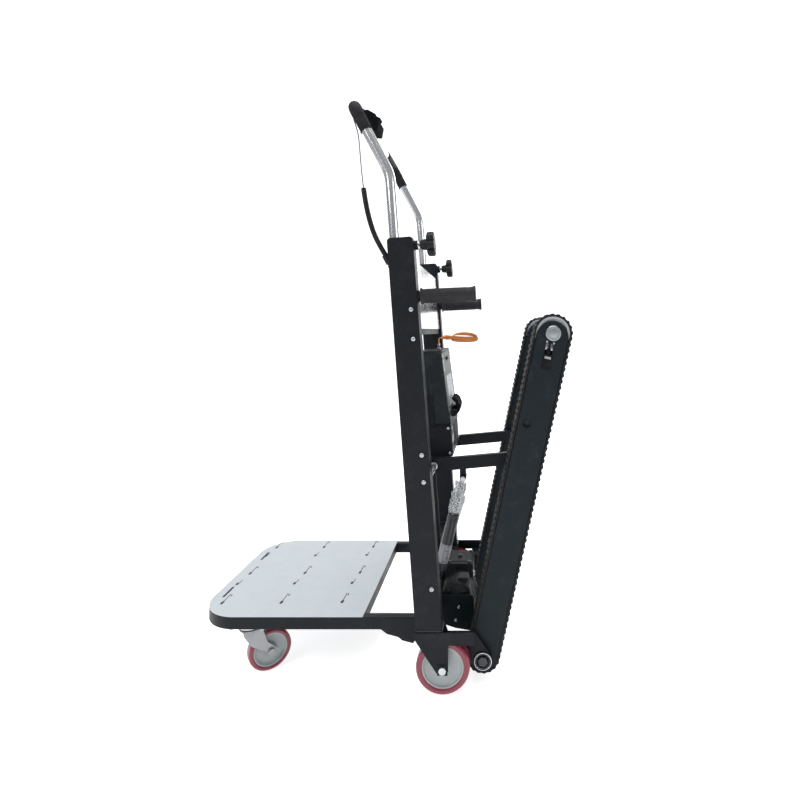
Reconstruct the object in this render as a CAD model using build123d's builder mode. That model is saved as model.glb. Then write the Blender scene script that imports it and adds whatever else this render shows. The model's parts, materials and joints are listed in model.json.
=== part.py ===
"""Stair climbing trolley: a load platform on four wheels, a leaning twin mast with a
sliding push handle, and a pair of powered crawler tracks that fold towards the mast.

Frame: +X is the operator's side (tracks), -X the load platform, +Z up, symmetric about Y = 0.
The origin is on the floor, under the middle of the whole trolley. Left is -Y.
"""
import math
import os

from build123d import *

os.makedirs("parts", exist_ok=True)

# ---------------------------------------------------------------- driving dimensions (mm)
SIDES = ((-1, "left"), (1, "right"))
GAP = 0.3                       # clearance between bodies that move past each other

# platform
PLATFORM_FRONT_X = -450.7
PLATE_REAR_X = -49
PLATE_HALF_WIDTH = 223
PLATE_TOP_Z = 161.5
PLATE_THICKNESS = 2
PLATE_CORNER_R = 95
RAIL_TUBE_W = 20                # width of the platform's U tube
RAIL_TUBE_BOTTOM_Z = 130
SIDE_TUBE_END_X = 110           # rear end of the platform's side tubes, beside the masts
CROSS_TUBE_W = 26
MIDDLE_TUBE_X = -250            # centre of the cross tube under the plate
CASTER_PAD = (96, 76, 4)
STRAP_SLOT_X, STRAP_SLOT_Y = -425.5, 107
STRAP_SLOT = (55, 7)

# mast
MAST_LEAN = 4.2                 # degrees, the top leans towards the platform
MAST_Y = 242                    # centre of each mast tube
MAST_DEPTH = 60
MAST_WIDTH = 38
MAST_WALL = 2
MAST_FOOT_X = 111.4
MAST_HEIGHT = 906
BASE_TOP_Z = 147                # top of the base rails, where the masts stand
BASE_BOTTOM_Z = 127
BASE_RAIL_X, BASE_RAIL_LENGTH = 111, 64         # centre and length of the base rails
PANEL_TUBE_H = (680, 830)       # cross tubes behind the rear panel
CROSS_TUBE = (30, 20)           # depth and height
PANEL_T = 22                    # inner face of the rear panel
BOX_TUBE_H, SPRING_TUBE_H, LOW_TUBE_HEIGHT = 340, 44, 30
CABLE_DUCT = (8, 30)                            # depth and width of the upright cable duct
SCREW_H = (96, 342, 404, 671, 739)
SCREW_T, SCREW_R, SCREW_HEAD = 14, 5.5, 3
PANEL_H, PANEL_HEIGHT = 775, 162

# rear wheels
REAR_WHEEL_X, REAR_WHEEL_Y = 143.5, 242.5
REAR_WHEEL_R = 62.5
REAR_WHEEL_WIDTH = 36
REAR_HUB_R = 48
REAR_AXLE_R = 6

# front casters
CASTER_PIVOT_X = -330
CASTER_PIVOT_Y = 185
CASTER_WHEEL_R = 50
CASTER_WHEEL_WIDTH = 30
CASTER_HUB_R = 39
CASTER_TRAIL = 42
CASTER_PLATE_Z = 126
CASTER_PLATE = (92, 72)         # its centre is moved inwards from the pivot
CASTER_PLATE_Y = CASTER_PIVOT_Y - 6
CASTER_SCREWS = (74, 54)
CASTER_YAW = 38                 # degrees, direction of the trail from +X, turned inwards

# crawler tracks
AXLE_X, AXLE_Z = 235, 57        # lower (drive) axle, also the fold pivot
TRACK_LEAN = 12.26              # degrees, the top leans away from the mast
TRACK_LENGTH = 791              # between the axles
TRACK_Y = 180                   # centre of each track
TRACK_WIDTH = 59
DRIVE_BELT_R = 40.8             # outside of the belt round the drive pulley
IDLER_BELT_R = 47.7             # outside of the belt round the upper pulley
BELT_THICKNESS = 7
TRACK_PLATE = 4
AXLE_R = 10
WINDOW_H, INSPECTION_H = 752, 567       # adjuster window and round hole, along the track
SPREADER_H = (150, 610)

# link arms
ARM_PIVOT_T, ARM_PIVOT_H = 24.3, 350   # in the mast's own plane
ARM_LENGTH = 227
ARM_RISE = 5.2                  # degrees
ARM_DEPTH = 31
ARM_Y = 139.5
ARM_WIDTH = 15
ARM_SHAFT_R = 8

# gas spring
SPRING_Y = -110
SPRING_TOP_X, SPRING_TOP_Z = 182, 462.5
SPRING_FOOT_X, SPRING_FOOT_Z = 119.2, 207.4
SPRING_R = 15
SPRING_ROD_R = 7
SPRING_BODY = (16, 160)         # cylinder, measured from the foot eye
SPRING_ROD_START = 95           # inner end of the rod
EYE_HALF = 8                    # half width of the spring's end eyes

# handle
HANDLE_R = 12.5
HANDLE_T = -15                  # tube axis in the mast's plane
HANDLE_FOOT_H = 700
HANDLE_BEND_H = 1056
HANDLE_TOP_T, HANDLE_TOP_H = -90, 1228
HANDLE_CORNER_R = 30
HANDLE_BEND_R = 95
GRIP_SLEEVE_R = 15

# clamp knobs
KNOB_H = 888
KNOB_R = 29
KNOB_FACE_T = 60

# push grips
GRIP_H = 769
GRIP_R = 16.5
GRIP_LENGTH = 130
GRIP_RISE = 2.6                 # degrees above horizontal

# battery and controller
BOX_FRONT_T, BOX_REAR_T = -5, 60
BOX_FOOT_T = 71                 # rear of the battery's foot and of the controller box
BOX_HALF_WIDTH = 110
CONTROLLER_H = (361, 443)
BATTERY_H = (446, 636)
BATTERY_SHELL = 3

# final drive
GEAR_MODULE = 2
AXLE_TEETH = 38
PINION_TEETH = 36
GEAR_Y = (30, 46)
PINION_X = AXLE_X - 60

parts_written = []


def finish(piece, name):
    """Label a finished sub-part and write it as one STEP file."""
    piece.part.label = name
    export_step(piece.part, f"parts/{name}.step")
    parts_written.append(name)


def direction(degrees_from_z):
    """Unit vector in the XZ plane, tilted from +Z towards +X."""
    angle = math.radians(degrees_from_z)
    return Vector(math.sin(angle), 0, math.cos(angle))


MAST_UP = direction(-MAST_LEAN)
MAST_OUT = direction(90 - MAST_LEAN)        # square to the mast, towards the operator
TRACK_UP = direction(TRACK_LEAN)
TRACK_OUT = direction(90 + TRACK_LEAN)
NEAR = Vector(0, -1, 0)


def mast_point(t, h, y=0):
    """Point given in the mast's own plane: t square to the mast, h along it."""
    return Vector(MAST_FOOT_X, y, BASE_TOP_Z) + MAST_OUT * t + MAST_UP * h


def mast_level(h):
    """Plane square to the mast at height h: local x is t, local y is Y."""
    return Plane(origin=mast_point(0, h), x_dir=MAST_OUT, z_dir=MAST_UP)


def mast_side(y):
    """Side plane in mast coordinates; extrudes towards -Y."""
    return Plane(origin=mast_point(0, 0, y), x_dir=MAST_OUT, z_dir=NEAR)


def mast_face(t):
    """Plane parallel to the mast's rear face at t: local x is Y, local y is h."""
    return Plane(origin=mast_point(t, 0), x_dir=(0, 1, 0), z_dir=MAST_OUT)


def track_side(y):
    """Side plane in track coordinates, origin on the drive axle; extrudes towards -Y."""
    return Plane(origin=(AXLE_X, y, AXLE_Z), x_dir=TRACK_OUT, z_dir=NEAR)


def side(y):
    """Side plane of the trolley: local x is X, local y is Z; extrudes towards -Y."""
    return Plane(origin=(0, y, 0), x_dir=(1, 0, 0), z_dir=NEAR)


def slab(sign, inner, outer):
    """Y from which an extrusion of (outer - inner) towards -Y fills |y| inner..outer."""
    return -inner if sign < 0 else outer


def axis_plane(origin, z_dir):
    """Plane at a point, square to a direction in the XZ plane."""
    return Plane(origin=origin, x_dir=(0, 1, 0), z_dir=z_dir)


# ---------------------------------------------------------------- platform
def platform_outline(inset):
    """U outline of the platform, open towards the mast, drawn as a closed slab."""
    with BuildLine() as outline:
        half = PLATE_HALF_WIDTH - inset
        front = PLATFORM_FRONT_X + inset
        corner = PLATE_CORNER_R - inset
        Line((PLATE_REAR_X, half), (front + corner, half))
        RadiusArc((front + corner, half), (front, half - corner), -corner)
        Line((front, half - corner), (front, corner - half))
        RadiusArc((front, corner - half), (front + corner, -half), -corner)
        Line((front + corner, -half), (PLATE_REAR_X, -half))
        Line((PLATE_REAR_X, -half), (PLATE_REAR_X, half))
    return outline


TUBE_TOP_Z = PLATE_TOP_Z - PLATE_THICKNESS

with BuildPart() as platform_frame:
    with BuildSketch(Plane.XY.offset(RAIL_TUBE_BOTTOM_Z)):
        make_face(platform_outline(0).wires()[0])
        make_face(platform_outline(RAIL_TUBE_W).wires()[0], mode=Mode.SUBTRACT)
        with Locations(((PLATE_REAR_X + SIDE_TUBE_END_X) / 2, 0)):
            with GridLocations(0, 2 * PLATE_HALF_WIDTH - RAIL_TUBE_W, 1, 2):
                Rectangle(SIDE_TUBE_END_X - PLATE_REAR_X + 2, RAIL_TUBE_W)
        with Locations((PLATE_REAR_X - CROSS_TUBE_W / 2, 0), (MIDDLE_TUBE_X, 0)):
            Rectangle(CROSS_TUBE_W, 2 * PLATE_HALF_WIDTH - RAIL_TUBE_W)
    extrude(amount=TUBE_TOP_Z - RAIL_TUBE_BOTTOM_Z)
    # mounting pads for the caster plates
    with BuildSketch(Plane.XY.offset(RAIL_TUBE_BOTTOM_Z)):
        with GridLocations(0, 2 * CASTER_PLATE_Y, 1, 2):
            with Locations((CASTER_PIVOT_X, 0)):
                Rectangle(*CASTER_PAD[:2])
    extrude(amount=CASTER_PAD[2])
    # welded gussets below the side tubes, in front of the masts
    for gusset_y in (-PLATE_HALF_WIDTH + RAIL_TUBE_W, PLATE_HALF_WIDTH):
        with BuildSketch(side(gusset_y)):
            Polygon((-8, 131), (8, 119), (34, 112), (44, 104), (70, 97), (80, 112), (82, 131),
                    align=None)
        extrude(amount=RAIL_TUBE_W)
finish(platform_frame, "platform_frame")

with BuildPart() as platform_plate:
    with BuildSketch(Plane.XY.offset(TUBE_TOP_Z)):
        make_face(platform_outline(0).wires()[0])
        with GridLocations(0, 2 * STRAP_SLOT_Y, 1, 2):
            with Locations((STRAP_SLOT_X, 0)):
                SlotOverall(*STRAP_SLOT, rotation=90, mode=Mode.SUBTRACT)
    extrude(amount=PLATE_THICKNESS)
finish(platform_plate, "platform_plate")

# ---------------------------------------------------------------- masts
FOOT_DEPTH = 14                 # the tube starts this far below and is cut level
for sign, name in SIDES:
    with BuildPart() as mast:
        with BuildSketch(mast_level(-FOOT_DEPTH)):
            with Locations((0, sign * MAST_Y)):
                Rectangle(MAST_DEPTH, MAST_WIDTH)
                Rectangle(MAST_DEPTH - 2 * MAST_WALL, MAST_WIDTH - 2 * MAST_WALL,
                          mode=Mode.SUBTRACT)
        extrude(amount=MAST_HEIGHT + FOOT_DEPTH)
        # rounded top corners
        with BuildSketch(mast_side(sign * MAST_Y + MAST_WIDTH)):
            with Locations((0, MAST_HEIGHT - 10)):
                Rectangle(MAST_DEPTH + 10, 40)
            with Locations((0, MAST_HEIGHT - 15)):
                RectangleRounded(MAST_DEPTH, 30, 8, mode=Mode.SUBTRACT)
            with Locations((0, MAST_HEIGHT - 20)):
                Rectangle(MAST_DEPTH + 20, 24, mode=Mode.SUBTRACT)
        extrude(amount=2 * MAST_WIDTH, mode=Mode.SUBTRACT)
        # foot cut level where the mast stands on the base rail
        with BuildSketch(side(sign * MAST_Y + MAST_WIDTH)):
            with Locations((MAST_FOOT_X, BASE_TOP_Z - 20)):
                Rectangle(120, 40)
        extrude(amount=2 * MAST_WIDTH, mode=Mode.SUBTRACT)
        # threaded boss of the clamp knob on the rear wall
        with BuildSketch(mast_face(MAST_DEPTH / 2 - MAST_WALL)):
            with Locations((sign * MAST_Y, KNOB_H)):
                Circle(11)
        extrude(amount=MAST_WALL + 8)
        with BuildSketch(mast_face(MAST_DEPTH / 2 - MAST_WALL - 1)):
            with Locations((sign * MAST_Y, KNOB_H)):
                Circle(4.05)
        extrude(amount=MAST_WALL + 12, mode=Mode.SUBTRACT)
        # round bar that carries the push grip
        bar_start = mast_point(MAST_DEPTH / 2 - 1, GRIP_H, sign * MAST_Y)
        with BuildSketch(axis_plane(bar_start, direction(90 - GRIP_RISE))):
            Circle(12)
        extrude(amount=GRIP_LENGTH - 2)
    finish(mast, f"{name}_mast")

with BuildPart() as mast_cross_tubes:
    # upper and lower cross tubes between the masts, carrying the panel and the boxes
    for cross_h in PANEL_TUBE_H:
        with BuildSketch(mast_level(cross_h)):
            with Locations((PANEL_T - CROSS_TUBE[0] / 2, 0)):
                Rectangle(CROSS_TUBE[0], 2 * PLATE_HALF_WIDTH)
        extrude(amount=CROSS_TUBE[1])
    with BuildSketch(mast_level(BOX_TUBE_H)):
        with Locations((-21, 0)):
            Rectangle(14, 2 * PLATE_HALF_WIDTH)
    extrude(amount=LOW_TUBE_HEIGHT)
    # foot cross tube on the platform's side tubes
    with BuildSketch(side(PLATE_HALF_WIDTH - RAIL_TUBE_W)):
        with Locations((105, 142)):
            Rectangle(*CROSS_TUBE)
    extrude(amount=2 * (PLATE_HALF_WIDTH - RAIL_TUBE_W))
    # plate that carries the gearbox, and the arm that holds the motor guard
    with BuildSketch(side(20)):
        Polygon((120, 132), (130, 132), (130, 205), (124, 205), (120, 160), align=None)
    extrude(amount=75)
    with BuildSketch(side(-55)):
        Polygon((120, 150), (127, 150), (127, 172), (120, 172), align=None)
    extrude(amount=90)
    # low cross tube with the two ears and the pin of the gas spring's foot
    with BuildSketch(mast_level(SPRING_TUBE_H)):
        with Locations((-12, 0)):
            Rectangle(20, 2 * PLATE_HALF_WIDTH)
    extrude(amount=LOW_TUBE_HEIGHT)
    # upright cable duct from the low cross tube to the tube under the boxes
    with BuildSketch(mast_level(SPRING_TUBE_H + LOW_TUBE_HEIGHT - 1)):
        with Locations((-18, 0)):
            Rectangle(*CABLE_DUCT)
    extrude(amount=BOX_TUBE_H - SPRING_TUBE_H - LOW_TUBE_HEIGHT + 2)
    for ear_y in (SPRING_Y + EYE_HALF + 6, SPRING_Y - EYE_HALF - 1):
        with BuildSketch(mast_side(ear_y)):
            Polygon((-3, 48), (14, 48), (22, 58), (16, 70), (-3, 70), align=None)
        extrude(amount=5)
    with BuildSketch(side(SPRING_Y + EYE_HALF + 6)):
        with Locations((SPRING_FOOT_X, SPRING_FOOT_Z)):
            Circle(5)
    extrude(amount=2 * EYE_HALF + 14)
finish(mast_cross_tubes, "mast_cross_tubes")

with BuildPart() as rear_panel:
    with BuildSketch(mast_face(PANEL_T)):
        with Locations((0, PANEL_H)):
            RectangleRounded(2 * (MAST_Y - MAST_WIDTH / 2) - 2, PANEL_HEIGHT, 8)
    extrude(amount=3)
finish(rear_panel, "rear_panel")

with BuildPart() as guide_bushes:
    # plastic bushes that close the mast tops and guide the handle legs
    for sign, name in SIDES:
        with BuildSketch(mast_level(MAST_HEIGHT - 34)):
            with Locations((0, sign * MAST_Y)):
                Rectangle(MAST_DEPTH - 2 * MAST_WALL, MAST_WIDTH - 2 * MAST_WALL)
            with Locations((HANDLE_T, sign * MAST_Y)):
                Circle(HANDLE_R + 0.1, mode=Mode.SUBTRACT)
        extrude(amount=32)
    # way through for the clamp screw
    for sign, name in SIDES:
        with BuildSketch(mast_face(HANDLE_T)):
            with Locations((sign * MAST_Y, KNOB_H)):
                Circle(5)
        extrude(amount=60, mode=Mode.SUBTRACT)
finish(guide_bushes, "guide_bushes")

# ---------------------------------------------------------------- base rails
RAIL_OUTER_Y = 262
EAR_INNER_Y = 212
FORK_PLATE = 4
FLANGE_BOTTOM_Z = 118
for sign, name in SIDES:
    with BuildPart() as base_rail:
        with BuildSketch(Plane.XY.offset(BASE_BOTTOM_Z)):
            with Locations((BASE_RAIL_X, sign * (PLATE_HALF_WIDTH + RAIL_OUTER_Y) / 2)):
                Rectangle(BASE_RAIL_LENGTH, RAIL_OUTER_Y - PLATE_HALF_WIDTH)
        extrude(amount=BASE_TOP_Z - BASE_BOTTOM_Z)
        # floor between the two plates, behind the wheel
        with BuildSketch(Plane.XY.offset(FLANGE_BOTTOM_Z)):
            with Locations((202.5, sign * (PLATE_HALF_WIDTH + RAIL_OUTER_Y) / 2)):
                Rectangle(29, RAIL_OUTER_Y - PLATE_HALF_WIDTH)
        extrude(amount=FORK_PLATE)
        # outer wheel plate: deep flange with a leg down to the axle
        with BuildSketch(side(slab(sign, RAIL_OUTER_Y, RAIL_OUTER_Y + FORK_PLATE))):
            with BuildLine():
                Polyline((79, BASE_TOP_Z - 1), (79, 132), (REAR_WHEEL_X - 16, 58))
                RadiusArc((REAR_WHEEL_X - 16, 58), (REAR_WHEEL_X + 13, 58), -17)
                Polyline((REAR_WHEEL_X + 13, 58), (REAR_WHEEL_X + 13, FLANGE_BOTTOM_Z),
                         (217, FLANGE_BOTTOM_Z), (217, BASE_TOP_Z - 1), (79, BASE_TOP_Z - 1))
            make_face()
            with Locations((REAR_WHEEL_X, REAR_WHEEL_R)):
                Circle(REAR_AXLE_R + 0.1, mode=Mode.SUBTRACT)
        extrude(amount=FORK_PLATE)
        # inner plate: wheel leg and the ear of the fold pivot
        with BuildSketch(side(slab(sign, EAR_INNER_Y, PLATE_HALF_WIDTH))):
            with BuildLine():
                Polyline((112, BASE_TOP_Z - 1), (REAR_WHEEL_X - 16, 58))
                RadiusArc((REAR_WHEEL_X - 16, 58), (REAR_WHEEL_X + 13, 58), -17)
                Polyline((REAR_WHEEL_X + 13, 58), (REAR_WHEEL_X + 22, 100), (AXLE_X - 22, AXLE_Z))
                RadiusArc((AXLE_X - 22, AXLE_Z), (AXLE_X + 20, AXLE_Z + 9), -22)
                Polyline((AXLE_X + 20, AXLE_Z + 9), (217, FLANGE_BOTTOM_Z + FORK_PLATE),
                         (152, FLANGE_BOTTOM_Z + FORK_PLATE), (143, BASE_TOP_Z - 1),
                         (112, BASE_TOP_Z - 1))
            make_face()
            with Locations((REAR_WHEEL_X, REAR_WHEEL_R)):
                Circle(REAR_AXLE_R + 0.1, mode=Mode.SUBTRACT)
            with Locations((AXLE_X, AXLE_Z)):
                Circle(AXLE_R + 0.06, mode=Mode.SUBTRACT)
        extrude(amount=PLATE_HALF_WIDTH - EAR_INNER_Y)
    finish(base_rail, f"{name}_base_rail")

# ---------------------------------------------------------------- rear wheels
HEX_HEAD_R = 9.5                # across the corners of the axle bolts' heads and nuts


def wheel_tyre(r_outer, r_inner, width, plane_at):
    """Tyre ring with rounded shoulders, centred on the plane."""
    with BuildPart() as tyre:
        with BuildSketch(plane_at):
            Circle(r_outer)
            Circle(r_inner, mode=Mode.SUBTRACT)
        extrude(amount=width / 2, both=True)
        fillet(tyre.edges().filter_by(GeomType.CIRCLE).group_by(
            lambda edge: round(edge.radius, 2))[-1], 5)
    return tyre


def wheel_hub(r_outer, width, bore, plane_at):
    """Moulded hub: rim, dished web and a boss round the bore."""
    with BuildPart() as hub:
        with BuildSketch(plane_at):
            Circle(r_outer)
        extrude(amount=width / 2, both=True)
        for face in (1, -1):
            with BuildSketch(plane_at.offset(face * width / 2)):
                Circle(r_outer - 6)
                Circle(r_outer * 0.36, mode=Mode.SUBTRACT)
            extrude(amount=-face * width * 0.22, mode=Mode.SUBTRACT, taper=12)
        with BuildSketch(plane_at.offset(-width)):
            Circle(bore)
        extrude(amount=2 * width, mode=Mode.SUBTRACT)
    return hub


for sign, name in SIDES:
    wheel_plane = Plane(origin=(REAR_WHEEL_X, sign * REAR_WHEEL_Y, REAR_WHEEL_R), x_dir=(1, 0, 0),
                        z_dir=NEAR)
    finish(wheel_tyre(REAR_WHEEL_R, REAR_HUB_R, REAR_WHEEL_WIDTH, wheel_plane),
           f"{name}_rear_tyre")
    finish(wheel_hub(REAR_HUB_R, REAR_WHEEL_WIDTH - 4, REAR_AXLE_R + 0.06, wheel_plane),
           f"{name}_rear_hub")

with BuildPart() as wheel_bolts:
    for sign, name in SIDES:
        outer = RAIL_OUTER_Y + FORK_PLATE
        bolt_plane = Plane(origin=(REAR_WHEEL_X, slab(sign, EAR_INNER_Y - 6, outer),
                                   REAR_WHEEL_R), x_dir=(1, 0, 0), z_dir=NEAR)
        with BuildSketch(bolt_plane):
            Circle(REAR_AXLE_R)
        extrude(amount=outer - EAR_INNER_Y + 6)
        head_plane = Plane(origin=(REAR_WHEEL_X, slab(sign, outer, outer + 7), REAR_WHEEL_R),
                           x_dir=(1, 0, 0), z_dir=NEAR)
        with BuildSketch(head_plane):
            RegularPolygon(HEX_HEAD_R, 6)
        extrude(amount=7)
        nut_plane = Plane(origin=(REAR_WHEEL_X, slab(sign, EAR_INNER_Y - 6, EAR_INNER_Y),
                                  REAR_WHEEL_R), x_dir=(1, 0, 0), z_dir=NEAR)
        with BuildSketch(nut_plane):
            RegularPolygon(HEX_HEAD_R, 6)
        extrude(amount=6)
    # screws that hold the caster plates to the platform
    for sign, name in SIDES:
        with BuildSketch(Plane.XY.offset(CASTER_PLATE_Z - 5)):
            with Locations((CASTER_PIVOT_X, sign * CASTER_PLATE_Y)):
                with GridLocations(*CASTER_SCREWS, 2, 2):
                    RegularPolygon(6, 6)
        extrude(amount=5)
finish(wheel_bolts, "wheel_bolts")

# ---------------------------------------------------------------- casters
CROWN_Z = (111, 117.7)
RACE_Z = 118
FORK_INNER = CASTER_WHEEL_WIDTH / 2 + 1.5
FORK_SHEET = 3
KINGPIN_R = 6


def caster_side(sign, offset):
    """Side plane of one caster: local x along its trail, local y is Z, normal outwards."""
    yaw = math.radians(-sign * CASTER_YAW)
    trail = Vector(math.cos(yaw), math.sin(yaw), 0)
    normal = trail.cross(Vector(0, 0, 1))
    pivot = Vector(CASTER_PIVOT_X, sign * CASTER_PIVOT_Y, 0)
    return Plane(origin=pivot + normal * offset, x_dir=trail, z_dir=normal)


with BuildPart() as caster_top_plates:
    for sign, name in SIDES:
        pivot = (CASTER_PIVOT_X, sign * CASTER_PIVOT_Y)
        with BuildSketch(Plane.XY.offset(CASTER_PLATE_Z)):
            with Locations((CASTER_PIVOT_X, sign * CASTER_PLATE_Y)):
                RectangleRounded(*CASTER_PLATE, 8)
        extrude(amount=RAIL_TUBE_BOTTOM_Z - CASTER_PLATE_Z)
        with BuildSketch(Plane.XY.offset(RACE_Z)):
            with Locations(pivot):
                Circle(28)
        extrude(amount=CASTER_PLATE_Z - RACE_Z, taper=-8)
        with BuildSketch(Plane.XY.offset(CROWN_Z[0] - 7)):
            with Locations(pivot):
                Circle(KINGPIN_R)
        extrude(amount=CASTER_PLATE_Z - CROWN_Z[0] + 7)
        with BuildSketch(Plane.XY.offset(CROWN_Z[0] - 7)):
            with Locations(pivot):
                RegularPolygon(HEX_HEAD_R, 6)
        extrude(amount=6.5)
finish(caster_top_plates, "caster_top_plates")

for sign, name in SIDES:
    with BuildPart() as fork:
        with BuildSketch(Plane.XY.offset(CROWN_Z[0])):
            with Locations((CASTER_PIVOT_X, sign * CASTER_PIVOT_Y)):
                Circle(27)
                Rectangle(44, 2 * (FORK_INNER + FORK_SHEET), rotation=-sign * CASTER_YAW)
        extrude(amount=CROWN_Z[1] - CROWN_Z[0])
        for start in (FORK_INNER, -FORK_INNER - FORK_SHEET):
            with BuildSketch(caster_side(sign, start)):
                with BuildLine():
                    Polyline((-21, CROWN_Z[1]), (-21, 106), (CASTER_TRAIL - 13, 50))
                    RadiusArc((CASTER_TRAIL - 13, 50), (CASTER_TRAIL + 13, 50), -13.01)
                    Polyline((CASTER_TRAIL + 13, 50), (24, 104), (22, CROWN_Z[1]),
                             (-21, CROWN_Z[1]))
                make_face()
            extrude(amount=FORK_SHEET)
        with BuildSketch(Plane.XY.offset(CROWN_Z[0] - 20)):
            with Locations((CASTER_PIVOT_X, sign * CASTER_PIVOT_Y)):
                Circle(KINGPIN_R + 0.08)
        extrude(amount=40, mode=Mode.SUBTRACT)
        with BuildSketch(caster_side(sign, -FORK_INNER - FORK_SHEET - 5)):
            with Locations((CASTER_TRAIL, CASTER_WHEEL_R)):
                Circle(5)
        extrude(amount=2 * (FORK_INNER + FORK_SHEET + 5))
        for start in (FORK_INNER + FORK_SHEET, -FORK_INNER - FORK_SHEET - 5):
            with BuildSketch(caster_side(sign, start)):
                with Locations((CASTER_TRAIL, CASTER_WHEEL_R)):
                    RegularPolygon(8.5, 6)
            extrude(amount=5)
    finish(fork, f"{name}_caster_fork")
    centre = caster_side(sign, 0)
    wheel_plane = Plane(origin=centre.from_local_coords((CASTER_TRAIL, CASTER_WHEEL_R, 0)),
                        x_dir=centre.x_dir, z_dir=centre.z_dir)
    finish(wheel_tyre(CASTER_WHEEL_R, CASTER_HUB_R, CASTER_WHEEL_WIDTH, wheel_plane),
           f"{name}_caster_tyre")
    finish(wheel_hub(CASTER_HUB_R, CASTER_WHEEL_WIDTH - 4, 5.06, wheel_plane),
           f"{name}_caster_hub")

# ---------------------------------------------------------------- crawler tracks
DRIVE_R = DRIVE_BELT_R - BELT_THICKNESS         # belt inner radius at the drive pulley
IDLER_R = IDLER_BELT_R - BELT_THICKNESS
TRACK_INNER_Y = TRACK_Y - TRACK_WIDTH / 2
TRACK_OUTER_Y = TRACK_Y + TRACK_WIDTH / 2
END_SHIFT = 10.5                                   # end of the side plates below the upper axle


def track_outline(r_low, r_up, up_h):
    """Outline round both pulleys: two circles and their common tangents."""
    Circle(r_low)
    with Locations((0, up_h)):
        Circle(r_up)
    make_hull()


for sign, name in SIDES:
    outer_face = slab(sign, TRACK_INNER_Y, TRACK_OUTER_Y)
    with BuildPart() as belt:
        with BuildSketch(track_side(outer_face)):
            track_outline(DRIVE_BELT_R, IDLER_BELT_R, TRACK_LENGTH)
        extrude(amount=TRACK_WIDTH)
        with BuildSketch(track_side(outer_face)):
            track_outline(DRIVE_R, IDLER_R, TRACK_LENGTH)
        extrude(amount=TRACK_WIDTH, mode=Mode.SUBTRACT)
    finish(belt, f"{name}_track_belt")

    with BuildPart() as track_frame:
        with BuildSketch(track_side(outer_face)):
            track_outline(DRIVE_R - 1, IDLER_R - 2, TRACK_LENGTH - END_SHIFT)
        extrude(amount=TRACK_WIDTH)
        # hollow between the side plates, open at both ends for the pulleys
        hollow_face = slab(sign, TRACK_INNER_Y + TRACK_PLATE, TRACK_OUTER_Y - TRACK_PLATE)
        with BuildSketch(track_side(hollow_face)):
            track_outline(DRIVE_R - 4, IDLER_R - 5, TRACK_LENGTH - END_SHIFT)
            with Locations((0, 0), (0, TRACK_LENGTH)):
                Rectangle(120, 100)
        extrude(amount=TRACK_WIDTH - 2 * TRACK_PLATE, mode=Mode.SUBTRACT)
        with BuildSketch(track_side(outer_face)):
            with Locations((0, 0), (0, TRACK_LENGTH)):
                Circle(AXLE_R + 0.06)
        extrude(amount=TRACK_WIDTH, mode=Mode.SUBTRACT)
        # adjuster window and inspection hole in the outer plate
        plate_face = slab(sign, TRACK_OUTER_Y - TRACK_PLATE, TRACK_OUTER_Y)
        with BuildSketch(track_side(plate_face)):
            with Locations((-2, WINDOW_H)):
                RectangleRounded(19, 26, 3)
            with Locations((-16, INSPECTION_H)):
                Circle(10.5)
        extrude(amount=TRACK_PLATE, mode=Mode.SUBTRACT)
    finish(track_frame, f"{name}_track_frame")

    with BuildPart() as idler:
        inner = slab(sign, TRACK_INNER_Y + TRACK_PLATE + 1, TRACK_OUTER_Y - TRACK_PLATE - 1)
        idler_plane = track_side(inner)
        idler_width = TRACK_WIDTH - 2 * TRACK_PLATE - 2
        with BuildSketch(idler_plane):
            with Locations((0, TRACK_LENGTH)):
                Circle(IDLER_R - 0.4)
        extrude(amount=idler_width)
        for depth, start in ((14, 0), (-14, idler_width)):
            with BuildSketch(track_side(inner - start)):
                with Locations((0, TRACK_LENGTH)):
                    Circle(IDLER_R - 6)
                    Circle(17, mode=Mode.SUBTRACT)
            extrude(amount=depth, mode=Mode.SUBTRACT)
        with BuildSketch(idler_plane):
            with Locations((0, TRACK_LENGTH)):
                Circle(AXLE_R + 0.06)
        extrude(amount=idler_width, mode=Mode.SUBTRACT)
    finish(idler, f"{name}_idler_pulley")

with BuildPart() as track_spreaders:
    # cross tubes that tie the two tracks together
    for spreader_h in SPREADER_H:
        with BuildSketch(track_side(TRACK_INNER_Y)):
            with Locations((0, spreader_h)):
                Circle(12.5)
                Circle(10, mode=Mode.SUBTRACT)
        extrude(amount=2 * TRACK_INNER_Y)
finish(track_spreaders, "track_spreaders")

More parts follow.
